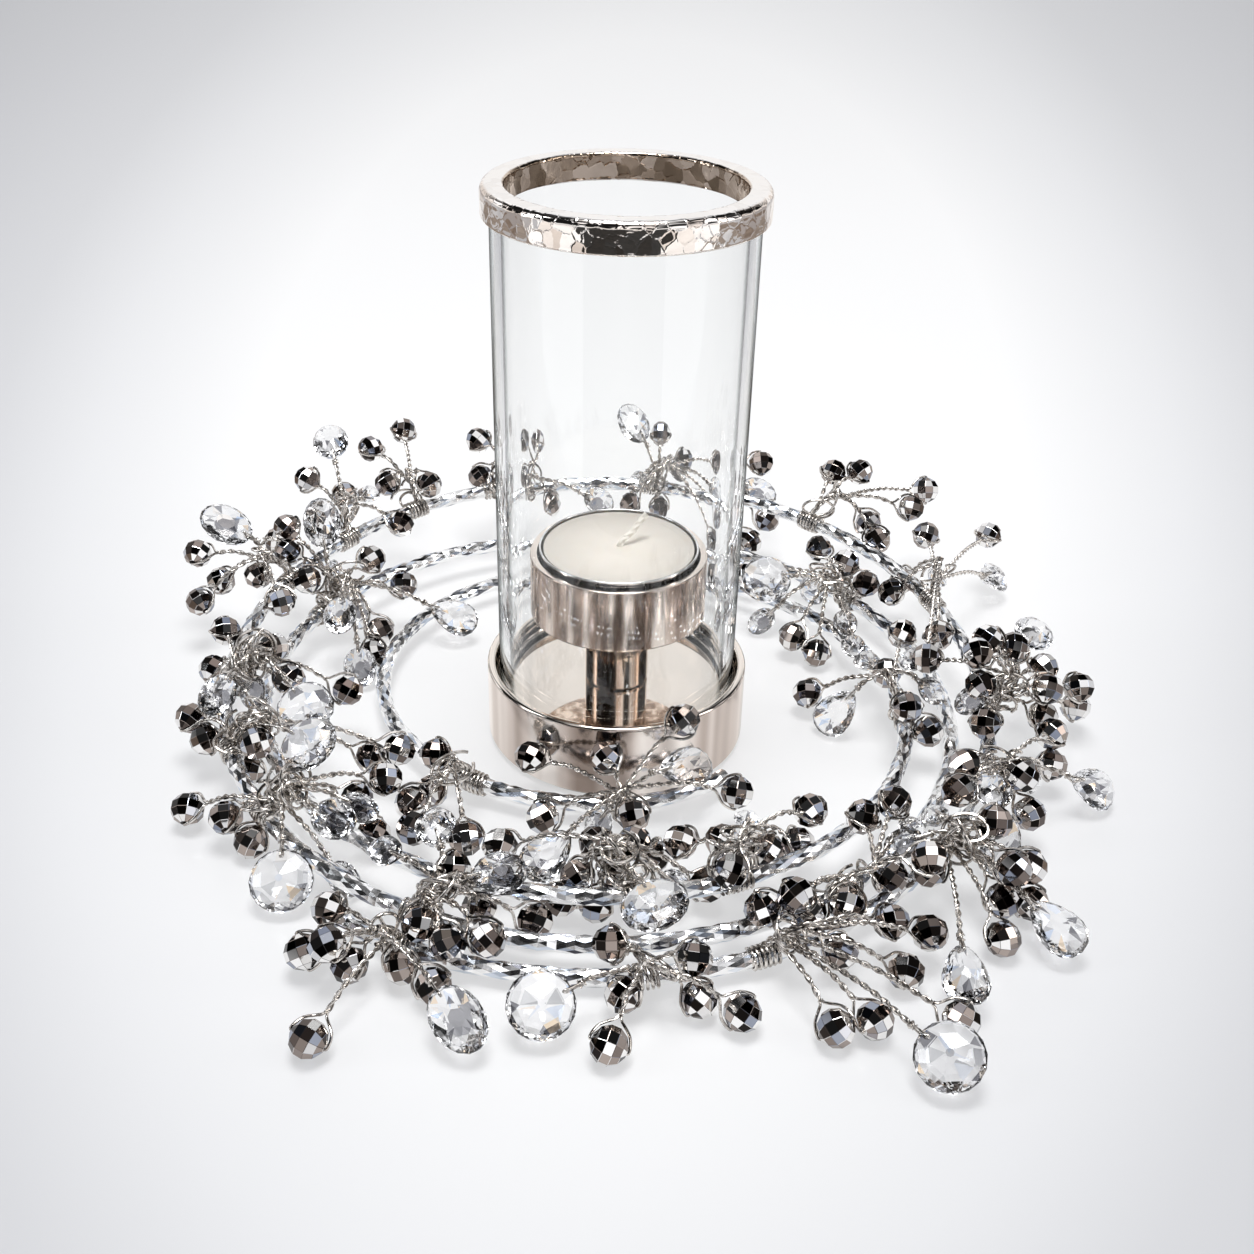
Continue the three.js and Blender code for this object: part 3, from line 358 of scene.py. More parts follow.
class Look:
    """A material or a world, whose nodes are made and linked by short calls."""

    def __init__(self, owner, shader="Principled BSDF", **sockets):
        """Constant values are set on the main shader itself."""
        owner.use_nodes = True
        self.owner = owner
        self.tree = owner.node_tree
        self.shader = self.tree.nodes[shader]
        for socket, value in sockets.items():
            self.shader.inputs[socket.replace("_", " ")].default_value = value

    def node(self, kind, inputs=None, **settings):
        """Outputs of a new node, whose inputs are values or the outputs of other nodes."""
        made = self.tree.nodes.new("ShaderNode" + kind)
        for setting, value in settings.items():
            setattr(made, setting, value)
        for socket, value in (inputs or {}).items():
            if isinstance(value, bpy.types.NodeSocket):
                self.tree.links.new(value, made.inputs[socket])
            else:
                made.inputs[socket].default_value = value
        return made.outputs

    def feed(self, socket, output):
        """Links an output to the main shader."""
        self.tree.links.new(output, self.shader.inputs[socket])

    def arithmetic(self, operation, *values):
        return self.node("Math", dict(enumerate(values)), operation=operation)["Value"]

    def between(self, value, low, high, first=0.0, last=1.0):
        """Passes from a first number to a last one while a value passes from low to high."""
        inputs = {"Value": value, "From Min": low, "From Max": high, "To Min": first, "To Max": last}
        return self.node("MapRange", inputs)["Result"]

    def place(self, kind="Object"):
        return self.node("TexCoord")[kind]

    def axes(self, vector):
        """The three parts of a vector, by the names X, Y and Z."""
        return self.node("SeparateXYZ", {"Vector": vector})

    def length(self, vector):
        return self.node("VectorMath", {0: vector}, operation="LENGTH")["Value"]

    def noise(self, scale, stretch=(1, 1, 1), detail=3.0, kind="Object"):
        """Noise in cycles to the metre, stretched along the axes."""
        mapped = self.node("Mapping", {"Vector": self.place(kind), "Scale": stretch})["Vector"]
        return self.node("TexNoise", {"Vector": mapped, "Scale": scale, "Detail": detail})["Fac"]

    def ramp(self, factor, stops):
        """A ramp of (place, colour) stops."""
        colour = self.node("ValToRGB", {"Fac": factor})["Color"]
        elements = colour.node.color_ramp.elements
        while len(elements) < len(stops):
            elements.new(0.5)
        for element, (place, tone) in zip(elements, stops):
            element.position = place
            element.color = (*tone, 1)
        return colour

    def blended(self, factor, first, second):
        """One colour that passes into another."""
        inputs = {"Factor": factor, MIX_FIRST: first, MIX_SECOND: second}
        return self.node("Mix", inputs, data_type="RGBA")[MIX_RESULT]

    def facing_up(self, low, high):
        """Rises from 0 to 1 as the surface turns from upright to level."""
        return self.between(self.axes(self.node("NewGeometry")["Normal"])["Z"], low, high)

    def above(self, low, high):
        """Rises from 0 to 1 between two heights on the piece, in millimetres."""
        return self.between(self.axes(self.place())["Z"], low * MM, high * MM)

    def across_radius(self, inner, outer):
        """Rises from 0 to 1 between two distances from the upright axis, in millimetres."""
        level = self.node("VectorMath", {0: self.place(), 1: (1, 1, 0)}, operation="MULTIPLY")["Vector"]
        return self.between(self.length(level), inner * MM, outer * MM)

    def patches(self, scale):
        """A random grey for every hammered patch, in patches to the metre, and the height of the ridges.

        The patches have wavering edges with a narrow ridge between each two.
        """
        place = self.place()
        waver = self.node("TexNoise", {"Vector": place, "Scale": PATCH_WAVES * scale})["Color"]
        inputs = {0: waver, 1: (PATCH_WAVER / scale,) * 3, 2: place}
        shifted = self.node("VectorMath", inputs, operation="MULTIPLY_ADD")["Vector"]
        inputs = {"Vector": shifted, "Scale": scale}
        seams = self.node("TexVoronoi", inputs, feature="DISTANCE_TO_EDGE")["Distance"]
        return self.node("TexVoronoi", inputs)["Color"], self.between(seams, 0.0, RIDGE_WIDTH, 1.0, 0.0)

    def facets(self):
        """The numbers that a cut piece carries on its facets."""
        return self.node("Attribute", attribute_name="facet")["Fac"]

    def tint(self, factor, stops):
        """Colours the surface by a ramp of (place, colour) stops."""
        self.feed("Base Color", self.ramp(factor, stops))

    def roughen(self, factor, low, high):
        """Varies the roughness between two values."""
        self.feed("Roughness", self.between(factor, 0.0, 1.0, low, high))

    def bump(self, factor, depth):
        """Small relief of a given depth in millimetres."""
        inputs = {"Height": factor, "Strength": 1.0, "Distance": depth * MM}
        self.feed("Normal", self.node("Bump", inputs)["Normal"])

    def overlay(self, share, second):
        """Lays a share of a second shader over the main one."""
        inputs = {"Fac": share, 1: self.shader.outputs["BSDF"], 2: second}
        mixed = self.node("MixShader", inputs)["Shader"]
        self.tree.links.new(mixed, self.tree.nodes["Material Output"].inputs["Surface"])


def surface(name, **sockets):
    return Look(bpy.data.materials.new(name), **sockets)


def metal(name, sheen=WHITE):
    return surface(name, Metallic=1.0, Specular_Tint=sheen)


def polished_nickel():
    """Warm polished nickel, plain and bright inside the dish, with broad soft streaks of painted reflection
    down its outer wall.
    """
    look = metal("polished_nickel", WARM)
    marks = look.noise(2200, stretch=(0.05, 0.05, 1))
    streaks_and_painted_reflections = look.noise(75, stretch=(1, 1, 0.02), detail=2)
    plain_inside = look.ramp(marks, [(0.3, (0.92, 0.85, 0.775)), (0.7, (0.94, 0.87, 0.8))])
    # Painted reflection: broad streaks from dark brown to near white down the outer wall
    wall = look.ramp(streaks_and_painted_reflections, [
        (0.37, (0.3, 0.24, 0.205)), (0.48, (0.63, 0.55, 0.5)), (0.6, (1.0, 0.94, 0.885))])
    outer = look.across_radius(*DISH_PAINTED_WALL_RADII)
    look.feed("Base Color", look.blended(outer, plain_inside, wall))
    look.roughen(outer, 0.04, 0.12)
    look.bump(marks, 0.001)
    return look


def drawn_nickel(name, stops, roughness):
    """Warm nickel drawn upright, with soft upright streaks of painted reflection on its walls and a painted
    highlight that makes its upper face brighter.
    """
    look = metal(name, WARM)
    streaks_and_painted_reflections = look.noise(330, stretch=(1, 1, 0.03), detail=2)
    # Painted reflection and highlight: upright walls take streaked tones from dark to near white, and faces
    # that turn up take a bright colour
    painted_top_highlight = look.ramp(streaks_and_painted_reflections, [(0.3, (0.93, 0.84, 0.765)), (0.7, (0.96, 0.88, 0.81))])
    look.feed("Base Color", look.blended(look.facing_up(0.6, 0.9), look.ramp(streaks_and_painted_reflections, stops), painted_top_highlight))
    look.roughen(look.noise(900), *roughness)
    look.bump(streaks_and_painted_reflections, 0.003)
    return look


def hammered_nickel():
    """Polished hammered nickel in lighter and darker patches, with painted shade that makes it browner
    inside and a painted highlight that makes its upper face white.
    """
    look = metal("hammered_nickel", WARM)
    struck, ridges = look.patches(PATCHES)
    # Painted shade: the inner wall takes darker, browner tones than the outer wall
    inside = look.ramp(struck, [
        (0.25, (0.2, 0.145, 0.1)), (0.5, (0.4, 0.305, 0.23)), (0.78, (0.64, 0.525, 0.43))])
    outside = look.ramp(struck, [
        (0.22, (0.7, 0.605, 0.535)), (0.42, (0.88, 0.8, 0.735)), (0.6, (1.0, 0.95, 0.905))])
    # Painted highlight: faces that turn up are near white
    upper = look.ramp(struck, [(0.2, (0.9, 0.885, 0.87)), (0.5, (0.97, 0.96, 0.95))])
    walls_painted_dark_inside = look.blended(look.across_radius(*RIM_OUTSIDE), inside, outside)
    look.feed("Base Color", look.blended(look.facing_up(0.8, 0.97), walls_painted_dark_inside, upper))
    look.roughen(look.noise(1500), 0.02, 0.05)
    look.bump(ridges, RIDGE_HEIGHT)
    return look


def chimney_glass():
    """Clear drawn glass with faint upright draw lines, painted grey where it is looked at edge on, a painted
    shade for its dark edges.
    """
    look = surface("chimney_glass", Transmission_Weight=1.0, IOR=1.45, Specular_IOR_Level=0.3,
                   Coat_Weight=1.0, Coat_IOR=1.0)
    lines = look.noise(260, stretch=(1, 1, 0.02))
    # Painted shade: colour and coat tint turn grey where the glass is seen at a grazing angle
    edge = look.node("LayerWeight", {"Blend": 0.5})["Facing"]
    look.tint(edge, [
        (0.0, (0.99, 0.994, 0.992)), (0.6, (0.985, 0.99, 0.988)), (0.74, (0.93, 0.945, 0.94)),
        (0.82, (0.66, 0.69, 0.685)), (0.89, (0.3, 0.33, 0.325)), (1.0, (0.1, 0.115, 0.115))])
    look.feed("Coat Tint", look.ramp(edge, [
        (0.75, (1.0, 1.0, 1.0)), (0.8, (0.944, 0.948, 0.947)), (0.85, (0.887, 0.89, 0.889)),
        (0.9, (0.9, 0.9, 0.9))]))
    look.roughen(lines, 0.0, 0.01)
    look.bump(lines, 0.005)
    return look


def cut_crystal():
    """Clear crystal, with painted reflections and fire in some of its facets: smoky dark, blue and amber."""
    look = surface("cut_crystal", Transmission_Weight=1.0, IOR=1.52, Roughness=0.0)
    # Painted reflections and fire: each facet gets a random tone from dark to white, blue or amber
    look.tint(look.facets(), [
        (0.0, (0.04, 0.04, 0.05)), (0.06, (0.2, 0.2, 0.22)), (0.12, (0.6, 0.61, 0.63)),
        (0.18, (0.97, 0.97, 0.98)), (0.9, (1.0, 1.0, 1.0)), (0.92, (0.4, 0.57, 0.9)),
        (0.95, (0.97, 0.95, 0.93)), (0.985, (1.0, 0.7, 0.42))])
    return look


def hematite():
    """Dark mirror coat whose facets carry painted reflections, from near black over warm grey to silver,
    with a few blue ones.
    """
    look = metal("hematite")
    # Painted reflections: each facet gets a random tone from near black to silver, a few of them blue
    look.tint(look.facets(), [
        (0.0, (0.008, 0.007, 0.006)), (0.17, (0.026, 0.02, 0.018)), (0.29, (0.18, 0.146, 0.13)),
        (0.54, (0.44, 0.375, 0.335)), (0.59, (0.2, 0.225, 0.295)), (0.67, (0.38, 0.41, 0.48)),
        (0.72, (0.8, 0.78, 0.76)), (1.0, (1.0, 0.99, 0.98))])
    look.roughen(look.noise(700), 0.01, 0.05)
    return look


def silver_wire():
    """Drawn silver wire, tarnished in places."""
    look = metal("silver_wire")
    look.tint(look.noise(500), [(0.34, (0.29, 0.262, 0.238)), (0.6, (0.81, 0.772, 0.728))])
    look.roughen(look.noise(1200), 0.08, 0.24)
    return look


def silver_foil():
    """Bright foil pressed in small scales, with painted reflections that make some of them dark and some
    bluish.
    """
    look = metal("silver_foil")
    # Painted reflections: each scale gets a random tone, a few dark, some bluish, most near white
    look.tint(look.facets(), [
        (0.0, (0.08, 0.08, 0.095)), (0.08, (0.26, 0.27, 0.3)), (0.13, (0.5, 0.56, 0.66)),
        (0.25, (0.7, 0.75, 0.82)), (0.33, (0.9, 0.9, 0.9)), (1.0, (1.0, 0.995, 0.99))])
    look.roughen(look.noise(900), 0.1, 0.2)
    return look


def can_aluminium():
    """Thin aluminium with upright draw marks, bright on its rolled rim, with painted shade that makes the
    outer face of its wall near black.
    """
    look = metal("can_aluminium")
    marks = look.noise(1500, stretch=(1, 1, 0.06))
    # Painted shade: the outer face of the wall, below the rolled rim, is near black
    wall = look.ramp(marks, [(0.3, (0.025, 0.024, 0.023)), (0.7, (0.085, 0.082, 0.08))])
    rim = look.ramp(marks, [(0.3, (0.8, 0.8, 0.8)), (0.7, (0.92, 0.92, 0.92))])
    radius, _, high = extent("tealight_can")
    top = high + CAN_PROUD
    outside = look.blended(look.above(top - 3 * CAN_ROLL, top - 2 * CAN_ROLL), wall, rim)
    outer = look.across_radius(radius - 0.75 * CAN_WALL, radius - 0.25 * CAN_WALL)
    look.feed("Base Color", look.blended(outer, rim, outside))
    look.roughen(marks, 0.05, 0.1)
    look.bump(marks, 0.004)
    return look


def candle_wax():
    """Pale cream wax, a little cloudy and translucent."""
    look = surface("candle_wax", Subsurface_Weight=0.15, Subsurface_Scale=0.002,
                   Subsurface_Radius=(1.0, 0.8, 0.6), Coat_Weight=0.1, Coat_Roughness=0.15)
    look.tint(look.noise(130), [(0.3, (0.81, 0.755, 0.675)), (0.7, (0.855, 0.8, 0.725))])
    look.roughen(look.noise(300), 0.3, 0.45)
    look.bump(look.noise(220, detail=2), 0.03)
    return look


def waxed_cotton():
    """Cream braided cotton, stiff with wax."""
    look = surface("waxed_cotton", Sheen_Weight=0.3, Coat_Weight=0.2, Coat_Roughness=0.3)
    fibres = look.noise(2600, stretch=(1, 1, 0.3))
    look.tint(fibres, [(0.3, (1.0, 0.94, 0.82)), (0.7, (1.0, 0.97, 0.9))])
    look.roughen(fibres, 0.5, 0.75)
    look.bump(fibres, 0.004)
    return look


def dark_felt():
    """Pressed dark felt."""
    look = surface("dark_felt", Sheen_Weight=0.5, Roughness=0.95)
    fibres = look.noise(1800, detail=6)
    look.tint(fibres, [(0.3, (0.012, 0.012, 0.014)), (0.7, (0.05, 0.049, 0.052))])
    look.bump(fibres, 0.25)
    return look


def zinc_plate():
    """Plain zinc plate with a spangled dullness."""
    look = metal("zinc_plate")
    spangle = look.noise(800)
    look.tint(spangle, [(0.3, (0.5, 0.5, 0.49)), (0.7, (0.68, 0.68, 0.67))])
    look.roughen(spangle, 0.25, 0.45)
    return look


CRYSTAL = cut_crystal()
HEMATITE = hematite()
SILVER = silver_wire()


# Meshes

def placed(name, data):
    """A new object in the scene."""
    made = bpy.data.objects.new(name, data)
    bpy.context.scene.collection.objects.link(made)
    return made


def outward(mesh):
    """Turns the faces of closed bodies outward."""
    body = bmesh.new()
    body.from_mesh(mesh)
    bmesh.ops.recalc_face_normals(body, faces=body.faces)
    body.to_mesh(mesh)
    body.free()


def piece(name, points, faces, look, slot, body, nodes=(), sharp=30):
    """A piece of the object from points in millimetres; with sharp None every face is flat and numbered."""
    mesh = bpy.data.meshes.new(name)
    mesh.from_pydata((np.asarray(points) * MM).tolist(), [], faces, shade_flat=sharp is None)
    outward(mesh)
    if sharp is None:
        numbers = np.random.default_rng(len(faces)).random(len(faces)).astype(np.float32)
        mesh.attributes.new("facet", "FLOAT", "FACE").data.foreach_set("value", numbers)
    else:
        mesh.set_sharp_from_angle(angle=math.radians(sharp))
    mesh.materials.append(look.owner)
    made = placed(name, mesh)
    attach(made, body)
    if nodes:
        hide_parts(*nodes)


def arc(x, z, radius, start, end, steps):
    """Points of an outline on an arc between two angles in degrees."""
    angles = np.radians(np.linspace(start, end, steps + 1))
    return [(x + radius * math.cos(a), z + radius * math.sin(a)) for a in angles]


def rounded(corner, x, z, edge, steps=CORNER_STEPS):
    """A quarter round in place of an outline's corner."""
    start, inward, upward = corner
    return arc(x + inward * edge, z + upward * edge, edge, start, start + 90, steps)


def hollow(wall, bottom, edge):
    """The round between the wall and the bottom of a hollow."""
    return rounded(OUTER_FOOT, wall, bottom, edge)[::-1]


def firm(outline):
    """An outline with points close to the ends of its long sides, so that they are shaded flat."""
    made = []
    for (x, z), (next_x, next_z) in zip(outline, outline[1:] + outline[:1]):
        made.append((x, z))
        length = math.dist((x, z), (next_x, next_z))
        if length > LONG_SIDE:
            for share in (FIRM_EDGE / length, 1 - FIRM_EDGE / length):
                made.append((x + share * (next_x - x), z + share * (next_z - z)))
    return made if outline[0][0] > 0 else made[:made.index(outline[-1]) + 1]


def lathe(outline, steps=LATHE_STEPS):
    """An outline turned round the upright axis: it starts and ends on the axis, or closes on itself."""
    points = []
    rows = []
    for x, z in outline:
        count = steps if x > 0 else 1
        angles = 2 * math.pi * np.arange(count) / count
        rows.append(len(points) + np.arange(count))
        points.extend(zip(x * np.cos(angles), x * np.sin(angles), np.full(count, z)))
    closed = outline[0][0] > 0
    nexts = rows[1:] + rows[:1] if closed else rows[1:]
    faces = []
    for low, high in zip(rows, nexts):
        for i in range(steps):
            j = (i + 1) % steps
            corners = (low[i % len(low)], low[j % len(low)], high[j % len(high)], high[i % len(high)])
            face = list(dict.fromkeys(int(corner) for corner in corners))
            if len(face) > 2:
                faces.append(face)
    return np.array(points), faces


def turned(name, outline, look, slot, body, node, sharp=30):
    """A turned piece that takes the place of a CAD node."""
    piece(name, *lathe(firm(outline)), look, slot, body, [node], sharp)


def solid(points, edge=0.0):
    """The convex body through points, with whole flat faces and, if asked, narrow bevelled edges."""
    body = bmesh.new()
    for point in points:
        body.verts.new(point)
    bmesh.ops.convex_hull(body, input=body.verts)
    loose = [corner for corner in body.verts if not corner.link_faces]
    bmesh.ops.delete(body, geom=loose, context="VERTS")
    bmesh.ops.dissolve_limit(body, angle_limit=math.radians(1), verts=body.verts, edges=body.edges)
    if edge:
        bmesh.ops.bevel(body, geom=body.edges[:], offset=edge, segments=1, affect="EDGES")
    body.verts.index_update()
    corners = np.array([corner.co for corner in body.verts])
    faces = [[corner.index for corner in face.verts] for face in body.faces]
    body.free()
    return corners, faces


# Wires

class Bundle:
    """Several bodies gathered into one mesh."""

    def __init__(self):
        self.points = []
        self.faces = []
        self.count = 0

    def add(self, points, faces):
        self.points.append(np.asarray(points, float))
        self.faces.extend([[corner + self.count for corner in face] for face in faces])
        self.count += len(points)

    def tube(self, path, side, other, radius):
        """A closed round wire along a path, with the two directions across it."""
        angles = 2 * math.pi * np.arange(WIRE_SIDES) / WIRE_SIDES
        rings = path[:, None] + radius * circling(angles, side[:, None], other[:, None])
        self.add(rings.reshape(-1, 3), tube_faces(len(path), WIRE_SIDES))

    def whole(self):
        return np.vstack(self.points), self.faces


def tube_faces(rings, sides):
    """Faces of a tube of rings, with its two ends closed."""
    first = np.arange(rings - 1)[:, None] * sides
    turn = np.arange(sides)[None]
    after = (turn + 1) % sides
    quads = np.stack([first + turn, first + after, first + sides + after, first + sides + turn], axis=-1)
    faces = quads.reshape(-1, 4).tolist()
    faces.append(list(range(sides))[::-1])
    faces.append(list(range((rings - 1) * sides, rings * sides)))
    return faces


def circling(angle, side, other):
    """Directions at angles round a path, from the two directions across it."""
    return np.cos(angle)[..., None] * side + np.sin(angle)[..., None] * other


def through(points, spacing=WIRE_STEP):
    """Close points on a smooth curve through the given ones."""
    points = np.asarray(points, float)
    padded = np.vstack([2 * points[0] - points[1], points, 2 * points[-1] - points[-2]])
    stretches = []
    for before, start, end, after in zip(padded, padded[1:], padded[2:], padded[3:]):
        count = max(2, int(np.linalg.norm(end - start) / spacing))
        t = np.linspace(0, 1, count, endpoint=False)[:, None]
        stretches.append(0.5 * (
            2 * start + (end - before) * t + (2 * before - 5 * start + 4 * end - after) * t**2
            + (3 * start - before - 3 * end + after) * t**3))
    return np.vstack([*stretches, points[-1:]])


def directions(path):
    """The two directions across a path at each of its points, carried along it without twist."""
    heading = unit(np.gradient(path, axis=0))
    start = np.cross(heading[0], UP)
    if np.linalg.norm(start) < 0.1:
        start = np.cross(heading[0], (1.0, 0.0, 0.0))
    side = np.empty_like(path)
    side[0] = unit(start)
    for i in range(1, len(path)):
        side[i] = unit(side[i - 1] - heading[i] * np.dot(side[i - 1], heading[i]))
    return side, np.cross(heading, side)


def lengths(path):
    """Distance along a path to each of its points."""
    return np.concatenate([[0], np.cumsum(np.linalg.norm(np.diff(path, axis=0), axis=1))])


def wire(bundle, points, radius=WIRE):
    """One plain wire through points."""
    path = through(points)
    bundle.tube(path, *directions(path), radius)


def rope(bundle, points, strands, radius, pitch, pressed=1.0):
    """Strands that touch, or are pressed together, twisted round a smooth curve through points."""
    path = through(points)
    side, other = directions(path)
    offset = pressed * radius / math.sin(math.pi / strands)
    for strand in range(strands):
        angle = 2 * math.pi * (lengths(path) / pitch + strand / strands)
        bundle.tube(path + offset * circling(angle, side, other), side, other, radius)


# Holder

def block(radius, low, high, edge):
    """Outline of a plain round block."""
    return [
        (0, low),
        *rounded(OUTER_FOOT, radius, low, edge),
        *rounded(OUTER_TOP, radius, high, edge),
        (0, high),
    ]


def felt_pad():
    outline = block(*extent("felt_pad"), PAD_EDGE)
    turned("pressed_pad", outline, dark_felt(), "felt", "holder", "felt_pad")


def base_dish():
    radius, low, high = extent("base_dish")
    inside = radius - DISH_WALL
    outline = [
        (0, low),
        *rounded(OUTER_FOOT, radius, low, BASE_EDGE),
        *rounded(OUTER_TOP, radius, high, DISH_EDGE),
        *rounded(INNER_TOP, inside, high, DISH_EDGE),
        *hollow(inside, DISH_FLOOR, DISH_CORNER),
        (0, DISH_FLOOR),
    ]
    turned("polished_dish", outline, polished_nickel(), "nickel", "holder", "base_dish")


def stem():
    radius, low, high = extent("stem")
    outline = block(radius, low + STEM_EDGE / 4, high, STEM_EDGE)
    look = drawn_nickel("turned_nickel", STEM_PAINTED_REFLECTION_TONES, STEM_ROUGHNESS)
    turned("polished_stem", outline, look, "nickel", "holder", "stem")


def cup():
    radius, low, high = extent("cup")
    inside = radius - CUP_WALL
    mouth = inside + CUP_MOUTH
    bottom = low + CUP_FLOOR
    outline = [
        (0, low),
        *rounded(OUTER_FOOT, radius, low, CUP_EDGE),
        *rounded(OUTER_TOP, radius, high, CUP_LIP),
        *rounded(INNER_TOP, mouth, high, CUP_LIP),
        (mouth, high - CUP_MOUTH_DEPTH),
        (inside, high - CUP_MOUTH_DEPTH - CUP_MOUTH),
        *hollow(inside, bottom, CUP_LIP),
        (0, bottom),
    ]
    look = drawn_nickel("drawn_nickel", CUP_PAINTED_REFLECTION_TONES, CUP_ROUGHNESS)
    turned("polished_cup", outline, look, "nickel", "holder", "cup")


# Tealight

def tealight_can():
    radius, low, high = extent("tealight_can")
    roll = high + CAN_PROUD - CAN_ROLL
    outline = [
        (0, low),
        *rounded(OUTER_FOOT, radius, low, CAN_CORNER),
        *arc(radius - CAN_WALL / 2, roll, CAN_ROLL, *CAN_ROLL_ARC, CAN_ROLL_STEPS),
        *hollow(radius - CAN_WALL, low + CAN_WALL, CAN_CORNER),
        (0, low + CAN_WALL),
    ]
    turned("candle_can", outline, can_aluminium(), "can_aluminium", "tealight", "tealight_can")


def wax():
    """Wax that climbs a little at the can and at the wick."""
    radius, low, high = extent("wax")
    high += CAN_PROUD
    level = high - WAX_DIP
    edge = [
        (radius - WAX_EDGE_WIDTH * t, high - WAX_DIP * (1 - math.cos(math.pi * t)) / 2)
        for t in np.linspace(0, 1, WAX_EDGE_POINTS)
    ]
    middle = [(radius * t, level) for t in WAX_RINGS]
    mound = [
        (2 * WICK_STRAND * (1 + WAX_MOUND * t), level + WAX_DIP * (1 + math.cos(math.pi * t)) / 2)
        for t in np.linspace(1, 0, WAX_MOUND_POINTS)
    ]
    outline = [(0, low), (radius, low), *edge, *middle, *mound, (0, level + WAX_DIP)]
    turned("candle_wax", outline, candle_wax(), "wax", "tealight", "wax", sharp=60)


def wick():
    _, low, high = extent("wick")
    leaving = np.array((0, 0, extent("wax")[2] + CAN_PROUD - WICK_BEND))
    top = np.array((*WICK_END, high + CAN_PROUD - WICK_DROOP))
    points = [(0, 0, low), leaving, (leaving + top) / 2, top]
    braid = Bundle()
    rope(braid, points, WICK_STRANDS, WICK_STRAND, WICK_PITCH, WICK_PRESSED)
    piece("candle_wick", *braid.whole(), waxed_cotton(), "cotton", "tealight", ["wick"], sharp=60)


# Chimney

def glass_tube():
    radius, low, high = extent("glass_tube")
    inside = radius - GLASS_WALL
    outline = [
        *rounded(OUTER_FOOT, radius, low, GLASS_EDGE),
        *rounded(OUTER_TOP, radius, high, GLASS_EDGE),
        *rounded(INNER_TOP, inside, high, GLASS_EDGE),
        *rounded(INNER_FOOT, inside, low, GLASS_EDGE),
    ]
    turned("clear_chimney", outline, chimney_glass(), "chimney_glass", "chimney", "glass_tube", sharp=50)


def spaced(outline, spacing):
    """A closed outline with points added so that none lie further apart than the spacing."""
    fine = []
    for start, end in zip(outline, outline[1:] + outline[:1]):
        count = max(1, math.ceil(math.dist(start, end) / spacing))
        fine.extend(np.linspace(start, end, count, endpoint=False).tolist())
    return fine


def dents(around, along, length):
    """Hammered relief, hollows between ridges, at distances round the rim and along its outline."""
    chance = np.random.default_rng(SEED)
    rows = round(length / DENT_SIZE)
    total = around.max()
    width = total / DENTS_ROUND
    u, v = np.meshgrid(np.arange(DENTS_ROUND), np.arange(rows))
    jitter = chance.uniform(-DENT_JITTER_ROUND, DENT_JITTER_ROUND, u.size)
    u = (u.ravel() + 0.5 * (v.ravel() % 2) + jitter) * width
    jitter = chance.uniform(-DENT_JITTER_ALONG, DENT_JITTER_ALONG, v.size)
    v = (v.ravel() + 0.5 + jitter) * length / rows
    across = around[:, None] - u[None]
    across = (across + total / 2) % total - total / 2
    down = along[:, None] - v[None]
    down = (down + length / 2) % length - length / 2
    reach = (across**2 + down**2) / DENT_BLEND
    nearest = reach.min(axis=1)
    rise = nearest - np.log(np.exp(nearest[:, None] - reach).sum(axis=1))
    return DENT_DEPTH * (1 - np.clip(rise * DENT_BLEND / (width / 2)**2, 0, DENT_REACH) / DENT_REACH)


def rim_ring():
    """A channel over the edge of the glass, hammered wherever it shows."""
    radius, low, high = extent("rim_ring")
    glass, _, glass_top = extent("glass_tube")
    channel_out = glass + CLEARANCE
    channel_in = glass - GLASS_WALL - CLEARANCE
    inside = channel_in - RIM_LIP
    skirt = high - RIM_INNER_SKIRT
    roof = glass_top + CLEARANCE
    outline = np.array(spaced([
        *rounded(OUTER_FOOT, radius, low, RIM_LIP),
        *rounded(OUTER_TOP, radius, high, RIM_ROUND, RIM_ROUND_STEPS),
        *rounded(INNER_TOP, inside, high, RIM_INNER_ROUND),
        (inside, skirt), (channel_in, skirt), (channel_in, roof), (channel_out, roof), (channel_out, low),
    ], RIM_SPACING))
    points, faces = lathe([tuple(point) for point in outline], RIM_STEPS)
    row = np.repeat(np.arange(len(outline)), RIM_STEPS)
    turn = np.tile(np.arange(RIM_STEPS), len(outline)) * 2 * math.pi / RIM_STEPS
    away = np.gradient(outline, axis=0)
    away = unit(np.column_stack([away[:, 1], -away[:, 0]]))
    half = (channel_out - channel_in) / 2 + CHANNEL_MARGIN
    hidden = np.abs(outline[:, 0] - (channel_in + channel_out) / 2) < half
    hidden &= outline[:, 1] < roof + CHANNEL_MARGIN
    slant = np.abs(away[:, 0] * away[:, 1])
    struck = np.where(hidden, 0.0, 1 - RIM_ROUND_KEPT * 2 * slant)
    along = lengths(outline)
    length = along[-1] + math.dist(outline[-1], outline[0])
    push = -struck[row] * dents(turn * radius, along[row], length)
    away = away[row]
    points = points + push[:, None] * np.column_stack(
        [away[:, 0] * np.cos(turn), away[:, 0] * np.sin(turn), away[:, 1]])
    piece("hammered_rim", points, faces, hammered_nickel(), "nickel", "chimney", ["rim_ring"], sharp=50)


# Garland

BASE_RADIUS = extent("base_dish")[0]


